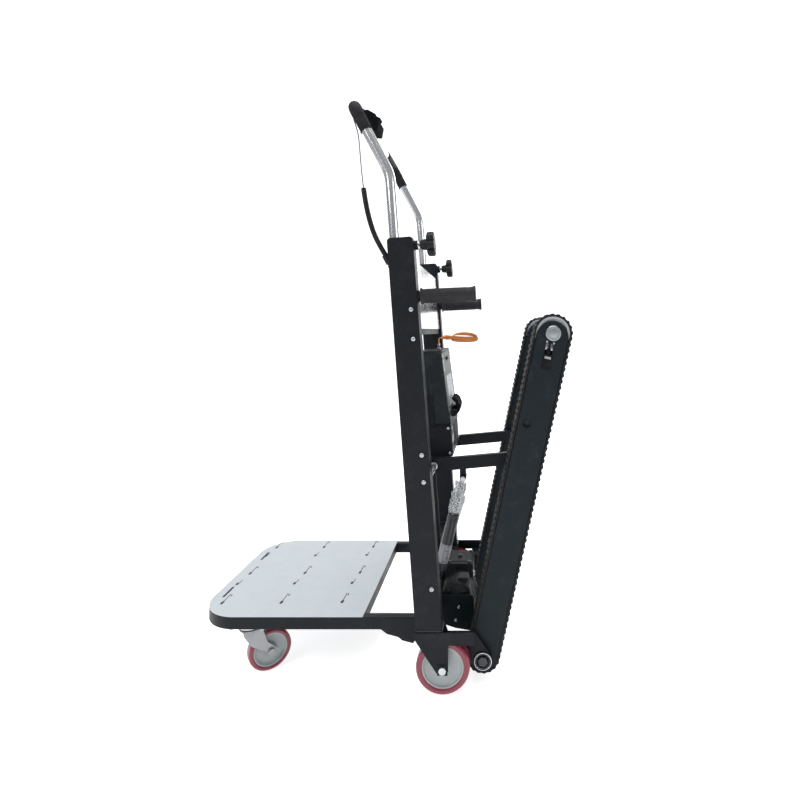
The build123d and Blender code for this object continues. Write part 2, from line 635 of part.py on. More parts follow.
with BuildPart() as track_hardware:
    # fixed axles of the upper pulleys with their outer discs
    for sign, name in SIDES:
        with BuildSketch(track_side(slab(sign, TRACK_INNER_Y, TRACK_OUTER_Y))):
            with Locations((0, TRACK_LENGTH)):
                Circle(AXLE_R)
        extrude(amount=TRACK_WIDTH)
        for disc_r, inner, outer in ((18, TRACK_OUTER_Y, TRACK_OUTER_Y + 2),
                                     (11, TRACK_OUTER_Y + 2, TRACK_OUTER_Y + 6)):
            with BuildSketch(track_side(slab(sign, inner, outer))):
                with Locations((0, TRACK_LENGTH)):
                    Circle(disc_r)
            extrude(amount=outer - inner)
    # tension screw with its nut behind each window, on a small block welded to the plate
    for sign, name in SIDES:
        screw_y = sign * (TRACK_OUTER_Y - TRACK_PLATE - 5)
        screw_foot = (Vector(AXLE_X, screw_y, AXLE_Z) + TRACK_UP * (WINDOW_H - 30)
                      - TRACK_OUT * 2)
        with BuildSketch(axis_plane(screw_foot, TRACK_UP)):
            Circle(3.5)
        extrude(amount=26)
        with BuildSketch(axis_plane(screw_foot + TRACK_UP * 12, TRACK_UP)):
            RegularPolygon(5, 6)
        extrude(amount=6)
        with BuildSketch(axis_plane(screw_foot - TRACK_UP * 4, TRACK_UP)):
            Rectangle(10, 14)
        extrude(amount=10)
finish(track_hardware, "track_hardware")

# ---------------------------------------------------------------- final drive
with BuildPart() as drive_axle:
    axle_end = PLATE_HALF_WIDTH + 1
    with BuildSketch(track_side(axle_end)):
        Circle(AXLE_R)
    extrude(amount=2 * axle_end)
    for sign, name in SIDES:
        with BuildSketch(track_side(slab(sign, axle_end, axle_end + 5))):
            RegularPolygon(11.5, 6)
        extrude(amount=5)
    # drive pulleys inside the belts
    for sign, name in SIDES:
        with BuildSketch(track_side(slab(sign, TRACK_INNER_Y + 5, TRACK_OUTER_Y - 5))):
            Circle(DRIVE_R - 0.4)
        extrude(amount=TRACK_WIDTH - 10)
finish(drive_axle, "drive_axle")


def gear_outline(teeth, phase):
    """Straight-flanked tooth outline, thinned for backlash."""
    pitch_r = GEAR_MODULE * teeth / 2
    root_r, tip_r = pitch_r - 1.25 * GEAR_MODULE, pitch_r + 0.85 * GEAR_MODULE
    step = 2 * math.pi / teeth
    points = []
    for tooth in range(teeth):
        middle = phase + tooth * step
        for offset, radius in ((-0.30, root_r), (-0.105, tip_r), (0.105, tip_r), (0.30, root_r)):
            angle = middle + offset * step
            points.append((radius * math.cos(angle), radius * math.sin(angle)))
    Polygon(*points, align=None)


GEAR_WIDTH = GEAR_Y[1] - GEAR_Y[0]
GEAR_DISTANCE = GEAR_MODULE * (AXLE_TEETH + PINION_TEETH) / 2
PINION_Z = AXLE_Z + math.sqrt(GEAR_DISTANCE ** 2 - (AXLE_X - PINION_X) ** 2)
MESH_ANGLE = math.atan2(PINION_Z - AXLE_Z, PINION_X - AXLE_X)

with BuildPart() as axle_gear:
    with BuildSketch(Plane(origin=(AXLE_X, GEAR_Y[1], AXLE_Z), x_dir=(1, 0, 0), z_dir=NEAR)):
        gear_outline(AXLE_TEETH, MESH_ANGLE)
        Circle(AXLE_R, mode=Mode.SUBTRACT)
    extrude(amount=GEAR_WIDTH)
finish(axle_gear, "axle_gear")

with BuildPart() as output_pinion:
    with BuildSketch(Plane(origin=(PINION_X, GEAR_Y[1], PINION_Z), x_dir=(1, 0, 0),
                           z_dir=NEAR)):
        # a gap faces the axle gear's tooth
        gear_outline(PINION_TEETH, MESH_ANGLE + math.pi + math.pi / PINION_TEETH)
    extrude(amount=GEAR_WIDTH)
    with BuildSketch(Plane(origin=(PINION_X, GEAR_Y[0], PINION_Z), x_dir=(1, 0, 0),
                           z_dir=NEAR)):
        Circle(8)
    extrude(amount=24)
finish(output_pinion, "output_pinion")

GEARBOX_Y = (-60, 26)
MOTOR_X, MOTOR_Z, MOTOR_R = 166, 160, 38
with BuildPart() as motor_gearbox:
    with BuildSketch(side(GEARBOX_Y[1])):
        with Locations((167.5, 166)):
            RectangleRounded(75, 94, 8)
        with Locations((PINION_X, PINION_Z)):
            Circle(22)
        with Locations((PINION_X, PINION_Z + 15)):
            Rectangle(44, 30)
    extrude(amount=GEARBOX_Y[1] - GEARBOX_Y[0])
    with BuildSketch(side(GEARBOX_Y[1])):
        with Locations((PINION_X, PINION_Z)):
            Circle(8.06)
    extrude(amount=30, mode=Mode.SUBTRACT)
finish(motor_gearbox, "motor_gearbox")

with BuildPart() as drive_motor:
    with BuildSketch(side(GEARBOX_Y[0])):
        with Locations((MOTOR_X, MOTOR_Z)):
            Circle(MOTOR_R)
    extrude(amount=76)
    fillet(drive_motor.faces().sort_by(Axis.Y)[0].edges(), 6)
    with BuildSketch(side(GEARBOX_Y[0] - 76)):
        with Locations((MOTOR_X, MOTOR_Z)):
            Circle(14)
    extrude(amount=5)
finish(drive_motor, "drive_motor")

with BuildPart() as motor_guard:
    with BuildSketch(side(-145)):
        Polygon((120.3, 174), (204, 174), (211, 166), (211, 86), (200, 85), (165, 91), (140, 99),
                (126, 112), (120.3, 122), align=None)
    extrude(amount=3)
finish(motor_guard, "motor_guard")

with BuildPart() as pivot_bearings:
    # flanged bearing housings on the outside of the pivot ears
    for sign, name in SIDES:
        with BuildSketch(track_side(slab(sign, PLATE_HALF_WIDTH, PLATE_HALF_WIDTH + 4))):
            Circle(21)
            Circle(15.5, mode=Mode.SUBTRACT)
        extrude(amount=4)
finish(pivot_bearings, "pivot_bearings")

# ---------------------------------------------------------------- link arms
LUG_Y = (-132, -126)
ARM_PIVOT = mast_point(ARM_PIVOT_T, ARM_PIVOT_H)


def arm_side(y):
    """Side plane on the arm pivot, local x along the arms."""
    return Plane(origin=ARM_PIVOT + Vector(0, y, 0), x_dir=direction(90 - ARM_RISE), z_dir=NEAR)


with BuildPart() as link_arms:
    for sign, name in SIDES:
        with BuildSketch(arm_side(slab(sign, ARM_Y - ARM_WIDTH / 2, ARM_Y + ARM_WIDTH / 2))):
            with Locations((ARM_LENGTH / 2, 0)):
                SlotCenterToCenter(ARM_LENGTH, ARM_DEPTH)
            Circle(ARM_SHAFT_R + 0.06, mode=Mode.SUBTRACT)
        extrude(amount=ARM_WIDTH)
    # lug welded to the near arm, with the bolt head of the gas spring
    with BuildSketch(side(LUG_Y[1])):
        with Locations((SPRING_TOP_X, SPRING_TOP_Z)):
            Circle(8)
        with Locations((SPRING_TOP_X, SPRING_TOP_Z + 20)):
            Rectangle(16, 40)
    extrude(amount=LUG_Y[1] - LUG_Y[0])
    with BuildSketch(side(LUG_Y[0])):
        with Locations((SPRING_TOP_X, SPRING_TOP_Z)):
            RegularPolygon(8, 6)
    extrude(amount=6)
finish(link_arms, "link_arms")

with BuildPart() as arm_shoes:
    for sign, name in SIDES:
        with BuildSketch(arm_side(slab(sign, ARM_Y + ARM_WIDTH / 2, TRACK_INNER_Y - 1))):
            with Locations((ARM_LENGTH, 0)):
                Circle(11)
        extrude(amount=TRACK_INNER_Y - 1 - ARM_Y - ARM_WIDTH / 2)
finish(arm_shoes, "arm_shoes")

with BuildPart() as arm_pivot_shaft:
    with BuildSketch(arm_side(PLATE_HALF_WIDTH)):
        Circle(ARM_SHAFT_R)
    extrude(amount=2 * PLATE_HALF_WIDTH)
    for sign, name in SIDES:
        with BuildSketch(arm_side(slab(sign, ARM_Y + ARM_WIDTH / 2 + GAP, 153))):
            RegularPolygon(10, 6)
        extrude(amount=153 - ARM_Y - ARM_WIDTH / 2 - GAP)
finish(arm_pivot_shaft, "arm_pivot_shaft")

# ---------------------------------------------------------------- gas spring
SPRING_FOOT = Vector(SPRING_FOOT_X, SPRING_Y, SPRING_FOOT_Z)
SPRING_TOP = Vector(SPRING_TOP_X, SPRING_Y, SPRING_TOP_Z)
SPRING_LENGTH = (SPRING_TOP - SPRING_FOOT).length
SPRING_DIR = (SPRING_TOP - SPRING_FOOT).normalized()

with BuildPart() as gas_spring_cylinder:
    with BuildSketch(axis_plane(SPRING_FOOT + SPRING_DIR * SPRING_BODY[0], SPRING_DIR)):
        Circle(SPRING_R)
    extrude(amount=SPRING_BODY[1] - SPRING_BODY[0])
    with BuildSketch(side(SPRING_Y + EYE_HALF)):
        with Locations((SPRING_FOOT_X, SPRING_FOOT_Z)):
            Circle(10)
    extrude(amount=2 * EYE_HALF)
    with BuildSketch(axis_plane(SPRING_FOOT, SPRING_DIR)):
        Rectangle(2 * EYE_HALF, 14)
    extrude(amount=20)
    with BuildSketch(side(SPRING_Y + EYE_HALF)):
        with Locations((SPRING_FOOT_X, SPRING_FOOT_Z)):
            Circle(5.06)
    extrude(amount=2 * EYE_HALF, mode=Mode.SUBTRACT)
    with BuildSketch(axis_plane(SPRING_FOOT + SPRING_DIR * 30, SPRING_DIR)):
        Circle(SPRING_ROD_R + 0.06)
    extrude(amount=140, mode=Mode.SUBTRACT)
finish(gas_spring_cylinder, "gas_spring_cylinder")

with BuildPart() as gas_spring_rod:
    with BuildSketch(axis_plane(SPRING_FOOT + SPRING_DIR * SPRING_ROD_START, SPRING_DIR)):
        Circle(SPRING_ROD_R)
    extrude(amount=SPRING_LENGTH - SPRING_ROD_START - 4)
    with BuildSketch(side(SPRING_Y + EYE_HALF)):
        with Locations((SPRING_TOP_X, SPRING_TOP_Z)):
            Circle(10)
    extrude(amount=2 * EYE_HALF)
    with BuildSketch(side(SPRING_Y - EYE_HALF)):
        with Locations((SPRING_TOP_X, SPRING_TOP_Z)):
            Circle(5)
    extrude(amount=SPRING_Y - EYE_HALF - LUG_Y[1] - 0.6)
finish(gas_spring_rod, "gas_spring_rod")


# ---------------------------------------------------------------- push handle
HANDLE_CORNERS = [mast_point(HANDLE_T, HANDLE_FOOT_H, -MAST_Y),
                  mast_point(HANDLE_T, HANDLE_BEND_H, -MAST_Y),
                  mast_point(HANDLE_TOP_T, HANDLE_TOP_H, -MAST_Y),
                  mast_point(HANDLE_TOP_T, HANDLE_TOP_H, MAST_Y),
                  mast_point(HANDLE_T, HANDLE_BEND_H, MAST_Y),
                  mast_point(HANDLE_T, HANDLE_FOOT_H, MAST_Y)]
with BuildPart() as handle_tube:
    with BuildLine() as handle_path:
        FilletPolyline(*HANDLE_CORNERS,
                       radius=[HANDLE_BEND_R, HANDLE_CORNER_R, HANDLE_CORNER_R, HANDLE_BEND_R])
    with BuildSketch(Plane(origin=HANDLE_CORNERS[0], x_dir=(0, 1, 0), z_dir=MAST_UP)):
        Circle(HANDLE_R)
        Circle(HANDLE_R - 1.5, mode=Mode.SUBTRACT)
    sweep(path=handle_path.wires()[0])
finish(handle_tube, "handle_tube")

GRIP_DROP = 34                  # how far each sleeve reaches down the leg
GRIP_INNER_Y = 120
SLOPE = (HANDLE_CORNERS[2] - HANDLE_CORNERS[1]).normalized()
with BuildPart() as handle_grips:
    for sign, name in SIDES:
        corner = mast_point(HANDLE_TOP_T, HANDLE_TOP_H, sign * MAST_Y)
        start = mast_point(HANDLE_TOP_T, HANDLE_TOP_H, sign * GRIP_INNER_Y)
        with BuildLine() as grip_path:
            FilletPolyline(start, corner, corner - SLOPE * GRIP_DROP, radius=HANDLE_CORNER_R)
        with BuildSketch(Plane(origin=start, x_dir=MAST_UP, z_dir=(0, sign, 0))):
            Circle(GRIP_SLEEVE_R)
            Circle(HANDLE_R, mode=Mode.SUBTRACT)
        sweep(path=grip_path.wires()[0])
finish(handle_grips, "handle_grips")

BAR = mast_point(HANDLE_TOP_T, HANDLE_TOP_H)
POD_Y = (-196, -141)
ROCKER_CENTRE = (BAR.X + 41, BAR.Z - 12)
ROCKER_R = 8
with BuildPart() as control_pod:
    with BuildSketch(side(POD_Y[1])):
        with Locations((BAR.X, BAR.Z)):
            Polygon((13, 3), (24, 5.5), (43, -5), (52, -21), (48, -45), (33, -46), (13, -24),
                    align=None)
            Circle(GRIP_SLEEVE_R, mode=Mode.SUBTRACT)
    extrude(amount=POD_Y[1] - POD_Y[0])
    fillet(control_pod.edges().filter_by(Axis.Y).sort_by(Axis.X)[-3:], 3)
    # clamp ring round the grip
    with BuildSketch(side(-159)):
        with Locations((BAR.X, BAR.Z)):
            Circle(GRIP_SLEEVE_R + 3)
            Circle(GRIP_SLEEVE_R, mode=Mode.SUBTRACT)
    extrude(amount=18)
    # pocket of the rocker
    with BuildSketch(side(-157)):
        with Locations(ROCKER_CENTRE):
            Circle(ROCKER_R + 0.4)
    extrude(amount=22, mode=Mode.SUBTRACT)
finish(control_pod, "control_pod")

with BuildPart() as drive_rocker:
    with BuildSketch(side(-157.5)):
        with Locations(ROCKER_CENTRE):
            Circle(ROCKER_R)
            with Locations((7, 2)):
                Circle(3.5)
    extrude(amount=21)
finish(drive_rocker, "drive_rocker")

# ---------------------------------------------------------------- clamp knobs
LOBES = 7
for sign, name in SIDES:
    with BuildPart() as knob:
        with BuildSketch(mast_face(KNOB_FACE_T)):
            with Locations((sign * MAST_Y, KNOB_H)):
                Circle(KNOB_R - 6)
                with PolarLocations(KNOB_R - 6, LOBES):
                    Circle(6)
        extrude(amount=18)
        fillet(knob.faces().sort_by(Axis.X)[-1].edges(), 2.5)
        with BuildSketch(mast_face(KNOB_FACE_T)):
            with Locations((sign * MAST_Y, KNOB_H)):
                Circle(12.5)
        extrude(amount=-15)
        with BuildSketch(mast_face(KNOB_FACE_T)):
            with Locations((sign * MAST_Y, KNOB_H)):
                Circle(4)
        extrude(amount=-(KNOB_FACE_T - HANDLE_T - HANDLE_R - GAP))
    finish(knob, f"{name}_clamp_knob")

# ---------------------------------------------------------------- push grips
with BuildPart() as push_grips:
    for sign, name in SIDES:
        grip_dir = direction(90 - GRIP_RISE)
        start = mast_point(MAST_DEPTH / 2 - 1, GRIP_H, sign * MAST_Y) + grip_dir * 7
        for offset, length, radius in ((0, 4, 19.5), (4, GRIP_LENGTH - 10, GRIP_R),
                                       (GRIP_LENGTH - 6, 4, 19)):
            with BuildSketch(axis_plane(start + grip_dir * offset, grip_dir)):
                Circle(radius)
            extrude(amount=length)
        with BuildSketch(axis_plane(start, grip_dir)):
            Circle(12)
        extrude(amount=GRIP_LENGTH - 9, mode=Mode.SUBTRACT)
finish(push_grips, "push_grips")

# ---------------------------------------------------------------- battery and controller
BOX_MID_T = (BOX_FRONT_T + BOX_REAR_T) / 2
BOX_DEPTH = BOX_REAR_T - BOX_FRONT_T
BATTERY_TILT = math.degrees(math.atan((BOX_FOOT_T - BOX_REAR_T)
                                      / (BATTERY_H[1] - BATTERY_H[0])))


def box_block(low_h, high_h, top_t, inset=0, corner=6):
    """Rounded box between two heights; its rear face leans from the foot to top_t."""
    with BuildPart() as block:
        with BuildSketch(mast_side(BOX_HALF_WIDTH - inset)):
            Polygon((BOX_FRONT_T + inset, low_h + inset), (BOX_FOOT_T - inset, low_h + inset),
                    (top_t - inset, high_h - inset), (BOX_FRONT_T + inset, high_h - inset),
                    align=None)
        extrude(amount=2 * (BOX_HALF_WIDTH - inset))
        fillet(block.edges().filter_by(
            lambda edge: abs(edge.tangent_at(0).Z) > 0.9), corner)
    return block.part


def battery_face(depth):
    """Plane on the battery's leaning rear face; origin at its top edge, local y up."""
    normal = direction(90 - MAST_LEAN - BATTERY_TILT)
    return Plane(origin=mast_point(BOX_REAR_T, BATTERY_H[1]) - normal * depth,
                 x_dir=(0, 1, 0), z_dir=normal)


with BuildPart() as controller_box:
    add(box_block(*CONTROLLER_H, BOX_FOOT_T))
    add(box_block(*CONTROLLER_H, BOX_FOOT_T, inset=BATTERY_SHELL, corner=3),
        mode=Mode.SUBTRACT)
finish(controller_box, "controller_box")

with BuildPart() as controller_board:
    with BuildSketch(mast_face(2)):
        with Locations((0, 402)):
            Rectangle(180, 60)
    extrude(amount=2)
    with BuildSketch(mast_face(4)):
        with Locations((0, 402)):
            with GridLocations(44, 30, 4, 2):
                Rectangle(26, 16)
    extrude(amount=14)
finish(controller_board, "controller_board")

with BuildPart() as battery_cradle:
    # shelf, back plate and cheeks that the battery slides between
    with BuildSketch(mast_level(CONTROLLER_H[1])):
        with Locations((BOX_MID_T - 3, 0)):
            Rectangle(BOX_DEPTH + 6, 2 * BOX_HALF_WIDTH + 8)
    extrude(amount=2.5)
    with BuildSketch(mast_level(CONTROLLER_H[1])):
        with Locations((BOX_FRONT_T - 4.5, 0)):
            Rectangle(7, 2 * BOX_HALF_WIDTH + 8)
        with Locations((BOX_FRONT_T + 16, 0)):
            with GridLocations(0, 2 * BOX_HALF_WIDTH + 5, 1, 2):
                Rectangle(36, 3)
    extrude(amount=80)
    with BuildSketch(mast_level(340)):
        with Locations((BOX_FRONT_T - 4.5, 0)):
            Rectangle(7, 150)
    extrude(amount=104)
finish(battery_cradle, "battery_cradle")

COVER_T = 5
COVER_H = (-162, -2)            # down the rear face from its top edge
COVER_MID = sum(COVER_H) / 2
BAIL_T, BAIL_H = 78, 464
with BuildPart() as battery_case:
    add(box_block(*BATTERY_H, BOX_REAR_T))
    add(box_block(*BATTERY_H, BOX_REAR_T, inset=BATTERY_SHELL, corner=3), mode=Mode.SUBTRACT)
    # opening for the cover
    with BuildSketch(battery_face(COVER_T)):
        with Locations((0, COVER_MID)):
            RectangleRounded(2 * BOX_HALF_WIDTH - 4, COVER_H[1] - COVER_H[0], 8)
    extrude(amount=COVER_T + 5, mode=Mode.SUBTRACT)
    # ears of the pull bail
    for sign, name in SIDES:
        with BuildSketch(mast_side(slab(sign, 44, 50))):
            Polygon((BAIL_T - 9, BAIL_H - 10), (BAIL_T + 6, BAIL_H - 8),
                    (BAIL_T + 6, BAIL_H + 8), (BAIL_T - 10, BAIL_H + 9), align=None)
            with Locations((BAIL_T, BAIL_H)):
                Circle(3.06, mode=Mode.SUBTRACT)
        extrude(amount=6)
finish(battery_case, "battery_case")

with BuildPart() as battery_cover:
    # lighter rear cover with a shallow label field and a latch slot
    with BuildSketch(battery_face(COVER_T)):
        with Locations((0, COVER_MID)):
            RectangleRounded(2 * BOX_HALF_WIDTH - 4, COVER_H[1] - COVER_H[0], 8)
    extrude(amount=COVER_T)
    with BuildSketch(battery_face(1)):
        with Locations((15, -112)):
            RectangleRounded(150, 84, 4)
        with Locations((0, -26)):
            RectangleRounded(60, 14, 5)
    extrude(amount=2, mode=Mode.SUBTRACT)
finish(battery_cover, "battery_cover")

with BuildPart() as battery_cells:
    # upright cells in rows
    with BuildSketch(mast_level(BATTERY_H[0] + 12)):
        with Locations((BOX_MID_T - 2, 0)):
            with GridLocations(19, 19, 2, 10):
                Circle(9)
    extrude(amount=160)
finish(battery_cells, "battery_cells")

with BuildPart() as battery_bail:
    # hinged pull bail with a hooked lip
    with BuildSketch(mast_side(50)):
        with Locations((BAIL_T, BAIL_H)):
            Circle(3)
    extrude(amount=100)
    with BuildSketch(mast_side(43.6)):
        with Locations((BAIL_T, BAIL_H)):
            Polygon((-4, -6), (4, -8), (12, 2), (15, 16), (10, 32), (2, 40), (-6, 40), (-5, 34),
                    (2, 27), (5, 14), (0, 6), (-4, 4), align=None)
    extrude(amount=87.2)
finish(battery_bail, "battery_bail")

STRAP_T, STRAP_H = 42, 636
STRAP_Z = 816
STRAP_WIDTH = 16
STRAP_FOOT = mast_point(STRAP_T, STRAP_H)
with BuildPart() as pull_strap:
    # webbing strap: an upright tail on the battery, a neck and an open loop
    with BuildSketch(side(STRAP_WIDTH / 2)):
        with Locations((STRAP_FOOT.X, (STRAP_FOOT.Z + STRAP_Z) / 2 + 2)):
            Rectangle(8, STRAP_Z - STRAP_FOOT.Z + 4)
        with Locations((STRAP_FOOT.X + 20, STRAP_Z)):
            Rectangle(40, 7)
        with Locations((STRAP_FOOT.X + 72, STRAP_Z)):
            Ellipse(36, 12.5)
            Ellipse(31, 8.5, mode=Mode.SUBTRACT)
    extrude(amount=STRAP_WIDTH)
finish(pull_strap, "pull_strap")

# ---------------------------------------------------------------- screws
with BuildPart() as frame_screws:
    for sign, name in SIDES:
        outer = MAST_Y + MAST_WIDTH / 2
        with BuildSketch(mast_side(slab(sign, outer, outer + 3))):
            for screw_h in SCREW_H:
                with Locations((SCREW_T, screw_h)):
                    Circle(SCREW_R)
        extrude(amount=SCREW_HEAD)
    with BuildSketch(side(-148)):
        with Locations((173, 144), (165.6, 112)):
            Circle(3.5)
    extrude(amount=2)
finish(frame_screws, "frame_screws")

# ---------------------------------------------------------------- control cable
GLAND_T, GLAND_H = -MAST_DEPTH / 2, 851
CONDUIT_R = 6
WIRE_R = 1.5


def cord_tube(points, radius, name):
    """Plain round tube along straight runs joined by arcs as large as the runs allow."""
    corners = [Vector(*point) for point in points]
    radii = []
    for before, corner, after in zip(corners, corners[1:], corners[2:]):
        turn = math.radians((corner - before).get_angle(after - corner))
        shorter = min((corner - before).length, (after - corner).length)
        radii.append(0.45 * shorter / math.tan(turn / 2))
    print(name, "arc radii", [round(value) for value in radii])
    with BuildPart() as tube:
        with BuildLine() as route:
            FilletPolyline(*corners, radius=radii)
        with BuildSketch(Plane(origin=corners[0], z_dir=corners[1] - corners[0])):
            Circle(radius)
        sweep(path=route.wires()[0])
    length = route.wires()[0].length
    section = math.pi * radius ** 2
    print(name, "length", round(length, 1), "volume ratio",
          round(tube.part.volume / (section * length), 4))
    finish(tube, name)


GLAND_ROOT = mast_point(GLAND_T, GLAND_H, -MAST_Y)
GLAND_EXIT = Vector(9, -MAST_Y, 1012)
CONDUIT_ROUTE = [tuple(GLAND_EXIT), (-13, -243, 1048), (-28, -246, 1094), (-38, -245, 1141),
                 (-42, -242, 1167)]
WIRE_ROUTE = [(-42, -242, 1167), (-45, -241.5, 1190), (-47.5, -242.5, 1216),
              (-49.5, -243.5, 1243), (-51.5, -243.5, 1270), (-55, -243, 1298),
              (-64.9, -242, 1327.3)]
with BuildPart() as cable_gland:
    gland_dir = (GLAND_EXIT - GLAND_ROOT).normalized()
    with BuildSketch(Plane(origin=GLAND_ROOT, x_dir=(0, 1, 0), z_dir=gland_dir)):
        Circle(9)
    extrude(amount=(GLAND_EXIT - GLAND_ROOT).length)
    with BuildSketch(mast_face(GLAND_T - 3)):
        with Locations((-MAST_Y, GLAND_H - 3)):
            Circle(11)
    extrude(amount=3)
    split(bisect_by=mast_face(GLAND_T), keep=Keep.BOTTOM)
finish(cable_gland, "cable_gland")
cord_tube(CONDUIT_ROUTE, CONDUIT_R, "control_conduit")
cord_tube(WIRE_ROUTE, WIRE_R, "control_wire")

print(len(parts_written), "parts")
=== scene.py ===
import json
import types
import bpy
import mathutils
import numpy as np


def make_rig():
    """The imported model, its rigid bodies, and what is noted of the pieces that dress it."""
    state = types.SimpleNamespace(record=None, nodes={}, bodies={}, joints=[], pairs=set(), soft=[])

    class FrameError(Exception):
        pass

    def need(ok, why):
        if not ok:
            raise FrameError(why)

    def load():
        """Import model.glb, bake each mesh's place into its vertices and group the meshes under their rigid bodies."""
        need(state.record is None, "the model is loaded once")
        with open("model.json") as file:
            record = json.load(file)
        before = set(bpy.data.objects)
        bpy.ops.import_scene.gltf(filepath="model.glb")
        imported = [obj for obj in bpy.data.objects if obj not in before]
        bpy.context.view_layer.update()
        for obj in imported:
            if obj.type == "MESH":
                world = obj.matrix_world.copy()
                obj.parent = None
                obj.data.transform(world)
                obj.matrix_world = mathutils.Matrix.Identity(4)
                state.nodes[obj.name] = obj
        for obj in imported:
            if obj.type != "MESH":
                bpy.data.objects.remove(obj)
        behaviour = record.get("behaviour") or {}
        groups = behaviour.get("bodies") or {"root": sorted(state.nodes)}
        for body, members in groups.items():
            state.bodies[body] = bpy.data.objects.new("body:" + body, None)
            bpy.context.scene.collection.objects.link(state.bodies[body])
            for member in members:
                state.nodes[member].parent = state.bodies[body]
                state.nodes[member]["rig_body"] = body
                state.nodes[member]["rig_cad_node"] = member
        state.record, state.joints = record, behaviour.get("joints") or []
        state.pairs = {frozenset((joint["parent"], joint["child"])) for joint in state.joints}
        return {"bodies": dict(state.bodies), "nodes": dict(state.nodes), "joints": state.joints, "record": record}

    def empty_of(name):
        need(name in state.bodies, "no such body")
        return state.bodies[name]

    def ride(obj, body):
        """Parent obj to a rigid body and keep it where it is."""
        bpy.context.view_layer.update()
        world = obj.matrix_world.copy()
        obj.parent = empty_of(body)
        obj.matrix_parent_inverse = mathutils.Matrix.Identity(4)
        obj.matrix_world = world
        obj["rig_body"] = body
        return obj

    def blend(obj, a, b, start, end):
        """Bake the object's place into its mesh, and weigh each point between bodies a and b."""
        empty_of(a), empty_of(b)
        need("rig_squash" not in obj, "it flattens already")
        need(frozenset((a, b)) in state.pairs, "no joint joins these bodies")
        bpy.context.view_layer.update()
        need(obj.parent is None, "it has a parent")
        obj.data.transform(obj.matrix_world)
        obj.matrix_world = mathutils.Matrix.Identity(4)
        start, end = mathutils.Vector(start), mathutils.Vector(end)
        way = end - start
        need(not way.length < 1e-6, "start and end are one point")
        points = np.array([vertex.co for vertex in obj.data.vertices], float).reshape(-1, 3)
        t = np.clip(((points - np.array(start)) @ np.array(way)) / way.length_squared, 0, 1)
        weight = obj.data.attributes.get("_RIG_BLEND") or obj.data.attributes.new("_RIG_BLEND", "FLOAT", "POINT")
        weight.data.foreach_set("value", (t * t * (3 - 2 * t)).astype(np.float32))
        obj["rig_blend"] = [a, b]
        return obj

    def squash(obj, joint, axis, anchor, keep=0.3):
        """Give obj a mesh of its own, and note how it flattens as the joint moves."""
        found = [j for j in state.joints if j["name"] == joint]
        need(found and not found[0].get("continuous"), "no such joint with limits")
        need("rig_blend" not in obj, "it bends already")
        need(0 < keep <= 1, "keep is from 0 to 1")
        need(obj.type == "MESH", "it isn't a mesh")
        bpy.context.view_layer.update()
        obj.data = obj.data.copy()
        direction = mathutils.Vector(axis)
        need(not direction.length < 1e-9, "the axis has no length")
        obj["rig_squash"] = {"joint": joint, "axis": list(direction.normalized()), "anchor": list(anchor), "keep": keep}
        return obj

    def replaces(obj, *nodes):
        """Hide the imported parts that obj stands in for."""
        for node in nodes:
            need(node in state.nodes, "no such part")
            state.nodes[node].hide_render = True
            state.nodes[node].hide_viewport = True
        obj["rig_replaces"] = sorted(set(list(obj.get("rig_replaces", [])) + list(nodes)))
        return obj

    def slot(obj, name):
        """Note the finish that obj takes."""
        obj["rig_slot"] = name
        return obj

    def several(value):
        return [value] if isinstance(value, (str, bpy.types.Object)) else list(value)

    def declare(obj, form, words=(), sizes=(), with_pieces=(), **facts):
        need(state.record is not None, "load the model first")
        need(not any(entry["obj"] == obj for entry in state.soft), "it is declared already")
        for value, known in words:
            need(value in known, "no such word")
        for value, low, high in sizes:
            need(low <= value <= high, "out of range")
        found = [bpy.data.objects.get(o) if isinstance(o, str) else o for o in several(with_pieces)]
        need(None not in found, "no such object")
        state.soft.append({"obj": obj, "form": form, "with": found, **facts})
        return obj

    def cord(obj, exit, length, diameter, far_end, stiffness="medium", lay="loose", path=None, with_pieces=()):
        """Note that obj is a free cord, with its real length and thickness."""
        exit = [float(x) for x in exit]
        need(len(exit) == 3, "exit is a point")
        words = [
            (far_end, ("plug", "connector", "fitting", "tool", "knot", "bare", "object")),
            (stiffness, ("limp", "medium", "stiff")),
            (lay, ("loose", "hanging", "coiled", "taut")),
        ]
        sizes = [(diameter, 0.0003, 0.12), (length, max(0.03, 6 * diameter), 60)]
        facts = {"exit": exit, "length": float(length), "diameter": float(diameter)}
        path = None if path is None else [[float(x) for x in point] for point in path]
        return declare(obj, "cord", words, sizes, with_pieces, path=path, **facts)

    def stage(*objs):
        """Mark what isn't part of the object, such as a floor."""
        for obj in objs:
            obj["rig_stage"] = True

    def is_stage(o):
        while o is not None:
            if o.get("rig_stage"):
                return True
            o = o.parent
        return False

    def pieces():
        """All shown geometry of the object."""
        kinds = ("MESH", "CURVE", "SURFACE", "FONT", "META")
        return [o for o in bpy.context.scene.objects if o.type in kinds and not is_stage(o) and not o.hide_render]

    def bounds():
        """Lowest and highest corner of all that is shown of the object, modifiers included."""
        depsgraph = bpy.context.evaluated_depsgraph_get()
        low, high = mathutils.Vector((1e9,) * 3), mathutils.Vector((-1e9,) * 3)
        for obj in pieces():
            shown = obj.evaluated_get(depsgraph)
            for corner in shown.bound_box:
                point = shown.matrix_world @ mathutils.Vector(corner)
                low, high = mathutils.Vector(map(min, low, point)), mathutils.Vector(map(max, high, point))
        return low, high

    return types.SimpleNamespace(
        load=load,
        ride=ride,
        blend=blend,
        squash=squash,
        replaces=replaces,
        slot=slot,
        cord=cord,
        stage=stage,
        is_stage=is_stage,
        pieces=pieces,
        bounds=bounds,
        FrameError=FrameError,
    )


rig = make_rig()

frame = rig.load()

import json
import math
import random

import bmesh
import bpy
from mathutils import Matrix, Vector, noise

